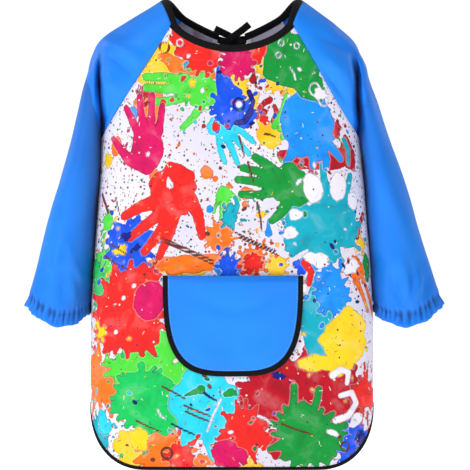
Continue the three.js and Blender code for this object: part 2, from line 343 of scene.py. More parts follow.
def sweep(name, path, across, profile, grow=None):
    # a band along a path in metres: across is its width direction, and profile its closed
    # outline in mm as (across, out) pairs
    run = tangents(path)
    across = unit(across - run * np.sum(across * run, -1, keepdims=True))
    out = unit(np.cross(run, across))
    profile = np.asarray(profile, float) * mm
    wide = np.ones(len(path)) if grow is None else grow
    rings = (path[:, None] + across[:, None] * profile[None, :, :1] * wide[:, None, None]
             + out[:, None] * profile[None, :, 1:])
    rows, columns = rings.shape[:2]
    faces = []
    for r in range(rows - 1):
        for c in range(columns):
            d = (c + 1) % columns
            faces.append((r * columns + c, (r + 1) * columns + c, (r + 1) * columns + d, r * columns + d))
    faces.append(tuple(range(columns)))
    faces.append(tuple(range((rows - 1) * columns, rows * columns))[::-1])
    uv = np.stack([np.repeat(lengthAlong(path), columns), np.tile(lengthAlong(profile), rows)], -1)
    piece = makeMesh(name, rings.reshape(-1, 3), faces, uv)
    outward(piece)
    return piece


def curveThrough(points, count):
    # an even smooth line through the points
    points = np.asarray(points, float)
    tangent = np.gradient(points, axis=0)
    fine = []
    for i in range(len(points) - 1):
        t = np.linspace(0, 1, 24, endpoint=False)[:, None]
        fine.append((2 * t ** 3 - 3 * t ** 2 + 1) * points[i] + (t ** 3 - 2 * t ** 2 + t) * tangent[i]
                    + (3 * t ** 2 - 2 * t ** 3) * points[i + 1] + (t ** 3 - t ** 2) * tangent[i + 1])
    fine = np.concatenate(fine + [points[-1:]])
    far = lengthAlong(fine)
    return sampled(fine, far, np.linspace(0, far[-1], count))


# the neck ties: limp flat tapes that are knotted behind the neck
# each point is x, y and height in mm, then the direction of the tape's width
ties = {
    "width": 9.4, "thickness": 1.3,
    "left": [
        (-20, 52.4, 559, 0, 0, 1), (-13, 51.5, 557.5, 0, 0, 1), (-5, 49.6, 554.5, 0, 0, 1),
        (3.5, 48.6, 552.5, 0.05, 0, 1), (10.5, 50.4, 552.2, 0.1, 0, 1), (13.2, 54.6, 553.2, 0.1, 0, 1),
        (9.5, 58.2, 555.4, 0.15, 0, 1), (2.5, 58.6, 560.5, 0.3, 0.05, 1), (-5, 57.0, 564.6, 0.5, 0.05, 0.9),
        (-13, 55.4, 568.6, 0.62, 0, 0.8), (-22.6, 54.6, 573.2, 0.6, 0, 0.8),
    ],
    "right": [
        (20, 52.4, 559.5, 0, 0, 1), (13, 53.4, 559, 0, 0, 1), (5, 54.9, 558, 0, 0, 1),
        (-3.5, 55.2, 555.4, -0.05, 0, 1), (-10.5, 53.6, 553.8, -0.1, 0, 1), (-13.6, 49.6, 553.4, -0.1, 0, 1),
        (-9.5, 46.4, 554.6, -0.15, 0, 1), (-2.5, 45.8, 559.5, -0.35, 0.05, 1), (4, 47.4, 564.5, -0.6, 0.05, 0.9),
        (12.5, 50.8, 570.8, -0.66, 0, 0.75), (22.6, 54.2, 579, -0.7, 0, 0.72),
    ],
}


def flatProfile(width, thickness):
    w, t = width / 2, thickness / 2
    side = [(-w, 0), (-w + 0.35, -t * 0.8), (-w + 1, -t), (-w * 0.4, -t * 0.9),
            (w * 0.4, -t * 0.9), (w - 1, -t), (w - 0.35, -t * 0.8), (w, 0)]
    return side + [(a, -b) for a, b in side[::-1][1:-1]]


def makeTie(name, key, body, nodes):
    rows = curveThrough(ties[key], 40)
    path = spots(rows[:, 0], rows[:, 1], rows[:, 2])
    tie = sweep(name, path, rows[:, 3:6], flatProfile(ties["width"], ties["thickness"]))
    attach(tie, body)
    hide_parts(*nodes)
    return tie


leftTie = makeTie("leftNeckTie", "left", "left_back_half", ["left_neck_tie"])
rightTie = makeTie("rightNeckTie", "right", "right_back_half", ["right_neck_tie", "neck_tie_knot"])


# materials
def linear(code):
    # a six-digit colour as linear values
    parts = [int(code[i:i + 2], 16) / 255 for i in (0, 2, 4)]
    return tuple(p / 12.92 if p <= 0.04045 else ((p + 0.055) / 1.055) ** 2.4 for p in parts) + (1.0,)


class Shader:
    # a short way to place nodes and join them
    def __init__(self, tree):
        self.tree = tree

    def feed(self, node, values):
        # each value is either a socket to join or a constant
        for key, value in values.items():
            if hasattr(value, "links"):
                self.tree.links.new(value, node.inputs[key])
            else:
                node.inputs[key].default_value = value

    def put(self, kind, values=None, **settings):
        node = self.tree.nodes.new(kind)
        for key, value in settings.items():
            setattr(node, key, value)
        self.feed(node, values or {})
        return node

    def sums(self, operation, a, b=0.0, clamp=False):
        return self.put("ShaderNodeMath", {0: a, 1: b}, operation=operation, use_clamp=clamp).outputs[0]

    def mix(self, share, a, b):
        node = self.put("ShaderNodeMix", data_type="RGBA")
        self.feed(node, {0: share, 6: a, 7: b})
        return node.outputs[2]

    def noise(self, place, scale, detail, **more):
        values = {"Vector": place, "Scale": scale, "Detail": detail, **more}
        return self.put("ShaderNodeTexNoise", values).outputs["Fac"]

    def between(self, value, low, high, start=0.0, stop=1.0):
        node = self.put("ShaderNodeMapRange", {"Value": value, "From Min": low, "From Max": high,
                                               "To Min": start, "To Max": stop})
        return node.outputs["Result"]


def newGroup(name, inputs, outputs):
    group = bpy.data.node_groups.new(name, "ShaderNodeTree")
    for socket, kind, value in inputs:
        made = group.interface.new_socket(socket, in_out="INPUT", socket_type="NodeSocket" + kind)
        if value is not None:
            made.default_value = value
    for socket, kind in outputs:
        group.interface.new_socket(socket, in_out="OUTPUT", socket_type="NodeSocket" + kind)
    shader = Shader(group)
    return group, shader, shader.put("NodeGroupInput").outputs, shader.put("NodeGroupOutput")


def makeWeaveGroup():
    # plain weave: crossing threads as a height, and how shaded the dips are
    group, s, given, out = newGroup(
        "plainWeave",
        [("Place", "Vector", None), ("Threads per metre", "Float", 1500.0), ("Slub", "Float", 0.3)],
        [("Height", "Float"), ("Dip", "Float")])
    split = s.put("ShaderNodeSeparateXYZ", {0: given["Place"]}).outputs
    turns = s.sums("MULTIPLY", given["Threads per metre"], fullTurn)
    wobble = s.noise(given["Place"], 240.0, 2.0)
    shift = s.sums("MULTIPLY", wobble, s.sums("MULTIPLY", given["Slub"], 4.0))
    warp = s.sums("SINE", s.sums("ADD", s.sums("MULTIPLY", split[0], turns), shift))
    weft = s.sums("SINE", s.sums("ADD", s.sums("MULTIPLY", split[1], turns), shift))
    cross = s.sums("MULTIPLY", warp, weft)
    height = s.between(s.sums("ADD", cross, s.sums("MULTIPLY", s.sums("ADD", warp, weft), 0.35)), -1.7, 1.7)
    s.tree.links.new(height, out.inputs["Height"])
    s.tree.links.new(s.between(height, 0.0, 0.45, 1.0, 0.0), out.inputs["Dip"])
    return group


def makeWrinkleGroup():
    # small creases that stay in coated cloth, as a height
    group, s, given, out = newGroup(
        "fineCreases", [("Place", "Vector", None), ("Scale", "Float", 14.0), ("Stretch", "Float", 0.35)],
        [("Height", "Float")])
    place = s.put("ShaderNodeCombineXYZ", {0: 1.0, 1: given["Stretch"], 2: 1.0}).outputs[0]
    bent = s.put("ShaderNodeVectorMath", {0: given["Place"], 1: place}, operation="MULTIPLY").outputs[0]
    fine = s.noise(bent, given["Scale"], 3.0, Roughness=0.45, Distortion=0.6)
    ridge = s.sums("ABSOLUTE", s.sums("SUBTRACT", fine, 0.5))
    s.tree.links.new(s.between(ridge, 0.0, 0.16), out.inputs["Height"])
    return group


def makePaintGroup():
    # one colour of the print: crisp edge, darker rim inside it and a pale halo round it
    group, s, given, out = newGroup(
        "paintLayer",
        [("Base", "Color", (1, 1, 1, 1)), ("Reach", "Float", 0.0), ("Paint", "Color", (1, 0, 0, 1)),
         ("Rim", "Color", (0.3, 0, 0, 1)), ("Mottle", "Float", 0.5), ("Halo", "Float", 0.5)],
        [("Color", "Color")])
    halo = s.sums("MULTIPLY", s.between(given["Reach"], -1.9, -0.7), given["Halo"])
    base = s.mix(halo, given["Base"], linear("f6f2fa"))
    light = s.mix(0.1, given["Paint"], (1, 1, 1, 1))
    body = s.mix(s.between(given["Mottle"], 0.52, 0.74), given["Paint"], light)
    body = s.mix(s.between(given["Mottle"], 0.46, 0.3, 0.0, 0.3), body, given["Rim"])
    rim = s.between(given["Reach"], 0.35, 1.15, 0.8, 0.0)
    body = s.mix(rim, body, given["Rim"])
    s.tree.links.new(s.mix(s.between(given["Reach"], -0.28, 0.28), base, body), out.inputs["Color"])
    return group


def scatter(s, given):
    # a flat field of cells, and three random values for each cell
    cells = s.put("ShaderNodeTexVoronoi", {"Vector": given["Place"], "Scale": given["Per metre"],
                                           "Randomness": 1.0}, voronoi_dimensions="2D")
    return cells, s.put("ShaderNodeSeparateColor", {0: cells.outputs["Color"]}).outputs


def makeSpeckGroup():
    # fine round droplets in many colours
    group, s, given, out = newGroup(
        "paintSpecks",
        [("Place", "Vector", None), ("Per metre", "Float", 90.0), ("Size", "Float", 0.16),
         ("Crowd", "Float", 0.5)],
        [("Mask", "Float"), ("Pick", "Float")])
    cells, pick = scatter(s, given)
    size = s.sums("MULTIPLY", given["Size"], s.between(pick[1], 0.0, 1.0, 0.25, 1.0))
    inside = s.between(s.sums("SUBTRACT", size, cells.outputs["Distance"]), -0.015, 0.015)
    shown = s.sums("GREATER_THAN", given["Crowd"], pick[2])
    s.tree.links.new(s.sums("MULTIPLY", inside, shown), out.inputs["Mask"])
    s.tree.links.new(pick[0], out.inputs["Pick"])
    return group


def makeDashGroup():
    # short thin dashes that lie at random angles, some of them no more than dots
    group, s, given, out = newGroup(
        "paintDashes",
        [("Place", "Vector", None), ("Per metre", "Float", 110.0), ("Length", "Float", 0.002),
         ("Width", "Float", 0.0004), ("Crowd", "Float", 0.5)],
        [("Mask", "Float"), ("Pick", "Float")])
    cells, pick = scatter(s, given)
    away = s.put("ShaderNodeVectorMath", {0: given["Place"], 1: cells.outputs["Position"]}, operation="SUBTRACT")
    angle = s.sums("MULTIPLY", pick[1], fullTurn)
    turned = s.put("ShaderNodeVectorRotate", {"Vector": away.outputs[0], "Angle": angle}, rotation_type="Z_AXIS")
    split = s.put("ShaderNodeSeparateXYZ", {0: turned.outputs[0]}).outputs
    half = s.sums("MULTIPLY", given["Length"], s.between(pick[2], 0.0, 1.0, 0.2, 1.0))
    long = s.sums("SUBTRACT", half, s.sums("ABSOLUTE", split[0]))
    wide = s.sums("SUBTRACT", given["Width"], s.sums("ABSOLUTE", split[1]))
    inside = s.between(s.sums("MINIMUM", long, wide), -0.00006, 0.00006)
    shown = s.sums("GREATER_THAN", given["Crowd"], s.sums("FRACT", s.sums("MULTIPLY", pick[0], 7.3)))
    s.tree.links.new(s.sums("MULTIPLY", inside, shown), out.inputs["Mask"])
    s.tree.links.new(pick[0], out.inputs["Pick"])
    return group


weaveGroup = makeWeaveGroup()
wrinkleGroup = makeWrinkleGroup()
paintGroup = makePaintGroup()
speckGroup = makeSpeckGroup()
dashGroup = makeDashGroup()


def bands(s, pick, codes):
    # even bands of flat colour, one of them picked by a value from 0 to 1
    node = s.put("ShaderNodeValToRGB", {0: pick})
    ramp = node.color_ramp
    ramp.interpolation = "CONSTANT"
    ramp.elements[0].color = linear(codes[0])
    ramp.elements[1].position = 1 / len(codes)
    ramp.elements[1].color = linear(codes[1])
    for i, code in enumerate(codes[2:], 2):
        ramp.elements.new(i / len(codes)).color = linear(code)
    return node.outputs[0]


def useGroup(s, group, values):
    node = s.put("ShaderNodeGroup", node_tree=group)
    s.feed(node, values)
    return node.outputs


def newMaterial(name, values):
    material = bpy.data.materials.new(name)
    material.use_nodes = True
    tree = material.node_tree
    tree.nodes.clear()
    s = Shader(tree)
    surface = s.put("ShaderNodeBsdfPrincipled")
    out = s.put("ShaderNodeOutputMaterial")
    tree.links.new(surface.outputs[0], out.inputs["Surface"])
    for key, value in values.items():
        surface.inputs[key].default_value = value
    return material, s, surface


def clothPlace(s):
    return s.put("ShaderNodeUVMap", uv_map="cloth").outputs[0]


def raiseBumps(s, surface, layers):
    # bumps one on another: each a height, its strength and its depth in metres
    before = None
    for height, strength, depth in layers:
        values = {"Height": height, "Strength": strength, "Distance": depth}
        if before is not None:
            values["Normal"] = before
        before = s.put("ShaderNodeBump", values).outputs[0]
    s.tree.links.new(before, surface.inputs["Normal"])


def plainCloth(name, look):
    # a woven cloth in one colour, with slight random changes of tone, painted shade in the dips between the
    # threads and, where the piece has a crease attribute, painted shade from it, and small creases as bumps
    material, s, surface = newMaterial(name, look["surface"])
    place = clothPlace(s)
    weave = useGroup(s, weaveGroup, {"Place": place, "Threads per metre": look["threads"]})
    crease = useGroup(s, wrinkleGroup, {"Place": place, "Scale": look["creaseScale"]})
    cloud = s.noise(place, look["cloudScale"], 3.0)
    colour = s.mix(s.between(cloud, 0.35, 0.68), linear(look["dark"]), linear(look["light"]))
    # painted shade in the dips between the threads
    colour = s.mix(s.sums("MULTIPLY", weave["Dip"], look["dipShade"]), colour, linear(look["dip"]))
    # painted shade: the crease attribute darkens the colour towards the look's crease colour
    if "crease" in look:
        deep = s.put("ShaderNodeAttribute", attribute_name="crease").outputs["Fac"]
        colour = s.mix(deep, colour, linear(look["crease"]))
    s.tree.links.new(colour, surface.inputs["Base Color"])
    rough = s.between(cloud, 0.3, 0.7, look["rough"][0], look["rough"][1])
    s.tree.links.new(rough, surface.inputs["Roughness"])
    raiseBumps(s, surface, [(crease["Height"], look["creaseStrength"], 0.0012), (weave["Height"], 0.5, 0.00016)])
    return material


# dip is the colour painted into the dips between the threads as shade, dipShade how much of it; crease, where
# given, is the painted shade colour that the piece's crease attribute lays on
looks = {
    "sleeve": {
        "surface": {"Sheen Weight": 0.05, "Sheen Roughness": 0.4, "Specular IOR Level": 0.34},
        "threads": 1250.0, "creaseScale": 16.0, "cloudScale": 5.0, "dark": "027aee", "light": "0e8cf8",
        # crease: dark navy painted shade for the sleeve's creases, its inner edge and its side away from the
        # light
        "crease": "010838", "dip": "0550b8", "dipShade": 0.35, "rough": (0.46, 0.52), "creaseStrength": 0.14,
    },
    "binding": {
        "surface": {"Sheen Weight": 0.03, "Sheen Roughness": 0.5, "Specular IOR Level": 0.18},
        "threads": 1100.0, "creaseScale": 60.0, "cloudScale": 30.0, "dark": "030305", "light": "08080b",
        "dip": "020203", "dipShade": 0.5, "rough": (0.72, 0.85), "creaseStrength": 0.25,
    },
    "tie": {
        "surface": {"Sheen Weight": 0.03, "Sheen Roughness": 0.5, "Specular IOR Level": 0.18},
        "threads": 1300.0, "creaseScale": 90.0, "cloudScale": 40.0, "dark": "030305", "light": "09090c",
        "dip": "030304", "dipShade": 0.5, "rough": (0.66, 0.8), "creaseStrength": 0.2,
    },
    "elastic": {
        "surface": {"Sheen Weight": 0.2},
        "threads": 700.0, "creaseScale": 120.0, "cloudScale": 60.0, "dark": "d8d8d6", "light": "ececea",
        "dip": "9c9c9a", "dipShade": 0.6, "rough": (0.75, 0.9), "creaseStrength": 0.3,
    },
    "tab": {
        "surface": {"Sheen Weight": 0.15, "Coat Weight": 0.1},
        "threads": 2200.0, "creaseScale": 120.0, "cloudScale": 60.0, "dark": "ecebee", "light": "fbfafc",
        "dip": "c4c4cc", "dipShade": 0.4, "rough": (0.5, 0.62), "creaseStrength": 0.15,
    },
    "hem": {
        "surface": {"Sheen Weight": 0.15},
        "threads": 1500.0, "creaseScale": 50.0, "cloudScale": 20.0, "dark": "e2deea", "light": "f4f1f8",
        "dip": "bdb8c8", "dipShade": 0.3, "rough": (0.6, 0.72), "creaseStrength": 0.2,
    },
    "blueThread": {
        "surface": {"Sheen Weight": 0.2},
        "threads": 3000.0, "creaseScale": 200.0, "cloudScale": 90.0, "dark": "0a4cb4", "light": "2468c8",
        "dip": "0448a0", "dipShade": 0.4, "rough": (0.5, 0.6), "creaseStrength": 0.1,
    },
    "paleThread": {
        "surface": {"Sheen Weight": 0.1},
        "threads": 3000.0, "creaseScale": 200.0, "cloudScale": 90.0, "dark": "8cb8ec", "light": "b4d4f6",
        "dip": "5c8cc8", "dipShade": 0.4, "rough": (0.5, 0.62), "creaseStrength": 0.1,
    },
}
sleeveCloth = plainCloth("azureSleeveCloth", looks["sleeve"])
bindingCloth = plainCloth("blackBiasBinding", looks["binding"])
tieTape = plainCloth("blackTieTape", looks["tie"])
elasticBraid = plainCloth("whiteElasticBraid", looks["elastic"])
tabCloth = plainCloth("blankTabCloth", looks["tab"])
hemCloth = plainCloth("whiteEdgeHem", looks["hem"])
blueThread = plainCloth("blueThread", looks["blueThread"])
paleThread = plainCloth("paleThread", looks["paleThread"])
give(leftTie, tieTape)
give(rightTie, tieTape)

knotCut = {
    "middle": (0.8, 52.5, 554.6), "half": (17.5, 5.6, 6.6), "power": 2.4, "rows": 26, "columns": 44, "fold": 0.09,
}


def makeKnot():
    # the pulled-tight middle of the knot, with the tape's turns showing as slanting ridges
    turn = np.linspace(0, 2 * math.pi, knotCut["columns"] + 1)[:-1][None, :]
    rise = np.linspace(-math.pi / 2, math.pi / 2, knotCut["rows"])[:, None]
    power = 2 / knotCut["power"]

    def curved(value):
        return np.sign(value) * np.abs(value) ** power

    swell = 1 + knotCut["fold"] * np.sin(3 * turn + 5 * rise) * np.cos(rise)
    x = knotCut["middle"][0] + knotCut["half"][0] * curved(np.sin(rise)) + 0 * turn
    y = knotCut["middle"][1] + knotCut["half"][1] * curved(np.cos(rise)) * np.cos(turn) * swell
    z = knotCut["middle"][2] + knotCut["half"][2] * curved(np.cos(rise)) * np.sin(turn) * swell
    knot = gridMesh("neckTieKnot", spots(x, y, z), clothUv(turn * 5, rise * 12, x.shape), closed=True)
    joinSeam(knot, 0.00005)
    outward(knot)
    give(knot, tieTape)
    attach(knot, "right_back_half")


makeKnot()

# the print: each colour with its rim, from the lowest layer up
inks = [
    ("yellow", "ffce14", "c87808", 0.12), ("orange", "ff7612", "a83404", 0.12),
    ("crimson", "c00420", "54000c", 0.12), ("lightGreen", "4fdc3e", "1c7a20", 0.12),
    ("emerald", "0cc85e", "04703c", 0.12), ("teal", "02aec6", "02566c", 0.3),
    ("cyan", "24d6ee", "0478a8", 0.2), ("azure", "1296ff", "0848a8", 0.25),
    ("blue", "0854ee", "061e84", 0.15), ("red", "f2241e", "8c060c", 0.15),
    ("magenta", "dc0662", "720034", 0.15), ("darkGreen", "04983a", "02501e", 0.2),
    ("sun", "ffd81e", "d08c08", 0.15), ("brown", "7c3420", "4c2014", 0.0),
    ("navy", "0a1686", "04083c", 0.0), ("cream", "f2eef8", "a8a4b8", 0.0),
]
thinInks = ("brown", "navy", "cream")
groundShades = [
    "a81830", "7a2c1c", "10803a", "e03420", "101c80", "6a3420", "e07820", "08889c", "a81830", "1c6a34",
]
overShades = ["f6e8c8", "d8b020", "8c1420", "101c6c", "189a50", "5c2414", "e8e4f0"]


def printedCloth():
    material, s, surface = newMaterial("printedSmockCloth", {
        "Sheen Weight": 0.03, "Sheen Roughness": 0.5, "Specular IOR Level": 0.2})
    place = clothPlace(s)
    cloud = s.noise(place, 34.0, 3.0, Distortion=0.8)
    wash = s.noise(place, 7.0, 2.0)
    colour = s.mix(s.between(wash, 0.4, 0.62), linear("dedaea"), linear("eae7f4"))
    # fine marks lie on the ground under the big shapes, and fewer on the shapes
    crowd = s.between(wash, 0.36, 0.6, 0.35, 0.95)
    for group, values, codes in (
            (dashGroup, {"Per metre": 105.0, "Length": 0.0026, "Width": 0.00042}, groundShades),
            (speckGroup, {"Per metre": 120.0, "Size": 0.22}, groundShades)):
        marks = useGroup(s, group, {"Place": place, "Crowd": crowd, **values})
        colour = s.mix(marks["Mask"], colour, bands(s, marks["Pick"], codes))
    for name, paint, rim, halo in inks:
        reach = s.put("ShaderNodeAttribute", attribute_name=name).outputs["Fac"]
        colour = useGroup(s, paintGroup, {
            "Base": colour, "Reach": reach, "Paint": linear(paint), "Rim": linear(rim), "Mottle": cloud,
            "Halo": halo})["Color"]
    for group, values in ((dashGroup, {"Per metre": 78.0, "Length": 0.0028, "Width": 0.0004, "Crowd": 0.5}),
                          (speckGroup, {"Per metre": 60.0, "Size": 0.09, "Crowd": 0.5})):
        marks = useGroup(s, group, {"Place": place, **values})
        colour = s.mix(marks["Mask"], colour, bands(s, marks["Pick"], overShades))
    weave = useGroup(s, weaveGroup, {"Place": place, "Threads per metre": 1400.0})
    crease = useGroup(s, wrinkleGroup, {"Place": place, "Scale": 13.0})
    # painted shade in the dips between the threads
    colour = s.mix(s.sums("MULTIPLY", weave["Dip"], 0.16), colour, linear("6a6478"))
    s.tree.links.new(colour, surface.inputs["Base Color"])
    s.tree.links.new(s.between(cloud, 0.3, 0.7, 0.6, 0.72), surface.inputs["Roughness"])
    raiseBumps(s, surface, [(crease["Height"], 0.2, 0.0012), (weave["Height"], 0.45, 0.00014)])
    return material


def printReverse():
    # the inside of the printed cloth, where the colours only show through
    material, s, surface = newMaterial("printReverse", {"Sheen Weight": 0.1, "Specular IOR Level": 0.3})
    place = clothPlace(s)
    cloud = s.noise(place, 26.0, 3.0, Distortion=1.0)
    colour = s.mix(s.between(cloud, 0.48, 0.6, 0.0, 0.7), linear("c8c4d0"), linear("9c6074"))
    other = s.noise(place, 17.0, 2.0)
    colour = s.mix(s.between(other, 0.56, 0.64, 0.0, 0.5), colour, linear("7a9cc0"))
    weave = useGroup(s, weaveGroup, {"Place": place, "Threads per metre": 1400.0})
    # painted shade in the dips between the threads
    colour = s.mix(s.sums("MULTIPLY", weave["Dip"], 0.2), colour, linear("8c88a0"))
    s.tree.links.new(colour, surface.inputs["Base Color"])
    s.tree.links.new(s.between(other, 0.3, 0.7, 0.7, 0.82), surface.inputs["Roughness"])
    raiseBumps(s, surface, [(weave["Height"], 0.45, 0.00014)])
    return material


printCloth = printedCloth()
printBack = printReverse()
print("materials made")


# the shapes of the print, as reach in mm inside each shape (negative outside it)
def blob(x, z, cx, cz, rx, rz, turn=0.0, wobble=0.12, seed=1):
    draw = random.Random(seed)
    c, s = math.cos(math.radians(turn)), math.sin(math.radians(turn))
    dx, dz = x - cx, z - cz
    u, v = (dx * c + dz * s) / rx, (-dx * s + dz * c) / rz
    angle = np.arctan2(v, u)
    edge = 1
    for k in (2, 3, 5, 7, 11):
        edge = edge + wobble * draw.uniform(0.3, 1) / math.sqrt(k) * np.sin(k * angle + draw.uniform(0, 6.3))
    return (edge - np.hypot(u, v)) * min(rx, rz)


def capsule(x, z, ax, az, bx, bz, ra, rb):
    dx, dz = bx - ax, bz - az
    t = np.clip(((x - ax) * dx + (z - az) * dz) / (dx * dx + dz * dz + 1e-9), 0, 1)
    return mixed(ra, rb, t) - np.hypot(x - ax - t * dx, z - az - t * dz)


def stroke(x, z, points, ra, rb):
    best = np.full(np.shape(x), -99.0)
    count = len(points) - 1
    for i in range(count):
        (ax, az), (bx, bz) = points[i], points[i + 1]
        start, stop = mixed(ra, rb, i / count), mixed(ra, rb, (i + 1) / count)
        best = np.maximum(best, capsule(x, z, ax, az, bx, bz, start, stop))
    return best


def splat(x, z, cx, cz, r, arms=12, reach=0.7, seed=1, squeeze=1.0, drops=8):
    # a thrown splash: a ragged middle, arms with round ends, and loose drops
    draw = random.Random(seed)
    best = blob(x, z, cx, cz, r, r * squeeze, draw.uniform(0, 90), 0.22, seed)
    for i in range(arms):
        angle = fullTurn * (i + draw.uniform(-0.35, 0.35)) / arms
        far = r * (1 + reach * draw.uniform(0.1, 1))
        ex, ez = cx + far * math.cos(angle), cz + far * math.sin(angle) * squeeze
        root = r * draw.uniform(0.14, 0.3)
        mx, mz = cx + 0.5 * (ex - cx), cz + 0.5 * (ez - cz)
        best = np.maximum(best, capsule(x, z, mx, mz, ex, ez, root, root * 0.28))
        best = np.maximum(best, draw.uniform(1.5, 1.8 + r * 0.085) - np.hypot(x - ex, z - ez))
    for i in range(drops):
        angle = draw.uniform(0, fullTurn)
        far = r * draw.uniform(1.3, 2.1)
        ex, ez = cx + far * math.cos(angle), cz + far * math.sin(angle) * squeeze
        size = draw.uniform(1.3, 3.2)
        long = size * draw.uniform(1, 1.7)
        best = np.maximum(best, blob(x, z, ex, ez, long, size, math.degrees(angle), 0.1, seed + i))
    return best


def hand(x, z, cx, cz, size, turn, side=1, spread=1.0, seed=1):
    # a child's handprint: palm in pads, five fingers in pads, fingers pointing along turn
    draw = random.Random(seed)
    c, s = math.cos(math.radians(turn)), math.sin(math.radians(turn))
    dx, dz = (x - cx) / size, (z - cz) / size
    v, u = dx * c + dz * s, side * (-dx * s + dz * c)  # v runs to the fingers, u to the thumb
    best = blob(u, v, 0, 1, 24, 20, 0, 0.08, seed)
    best = np.maximum(best, blob(u, v, 5, -11, 20, 17, 10, 0.1, seed + 1))
    fingers = [(-19, 12, -30, 8.5, 35), (-8, 20, -11, 9.3, 48), (5, 22, 4, 9.6, 51), (17, 17, 19, 9.0, 44)]
    for fx, fv, lean, width, length in fingers:
        a = math.radians(lean * spread + draw.uniform(-4, 4))
        ux, vx = math.sin(a), math.cos(a)
        reach = length * draw.uniform(0.92, 1.06)
        for start, stop, ra, rb in ((0, 0.36, 0.9, 0.86), (0.42, 0.66, 0.88, 0.86), (0.76, 0.94, 0.86, 0.98)):
            best = np.maximum(best, capsule(
                u, v, fx + ux * reach * start, fv + vx * reach * start, fx + ux * reach * stop,
                fv + vx * reach * stop, width * ra * 0.72, width * rb * 0.72))
    best = np.maximum(best, capsule(u, v, 20, -6, 34, 7, 7.5, 6.2))
    best = np.maximum(best, capsule(u, v, 38, 11, 44, 18, 6.4, 6.6))
    dry = softWaves(u, v, 17, seed + 5)
    return (best - 1.7 * np.clip(dry - 0.75, 0, 1) * 3) * size


def ring(x, z, cx, cz, r, w):
    return w / 2 - np.abs(np.hypot(x - cx, z - cz) - r)


def drip(x, z, cx, cz, r, far, turn):
    # a drop with a tail
    c, s = math.cos(math.radians(turn)), math.sin(math.radians(turn))
    tail = capsule(x, z, cx, cz, cx + far * c, cz + far * s, r * 0.8, 0.9)
    return np.maximum(r - np.hypot(x - cx, z - cz), tail)


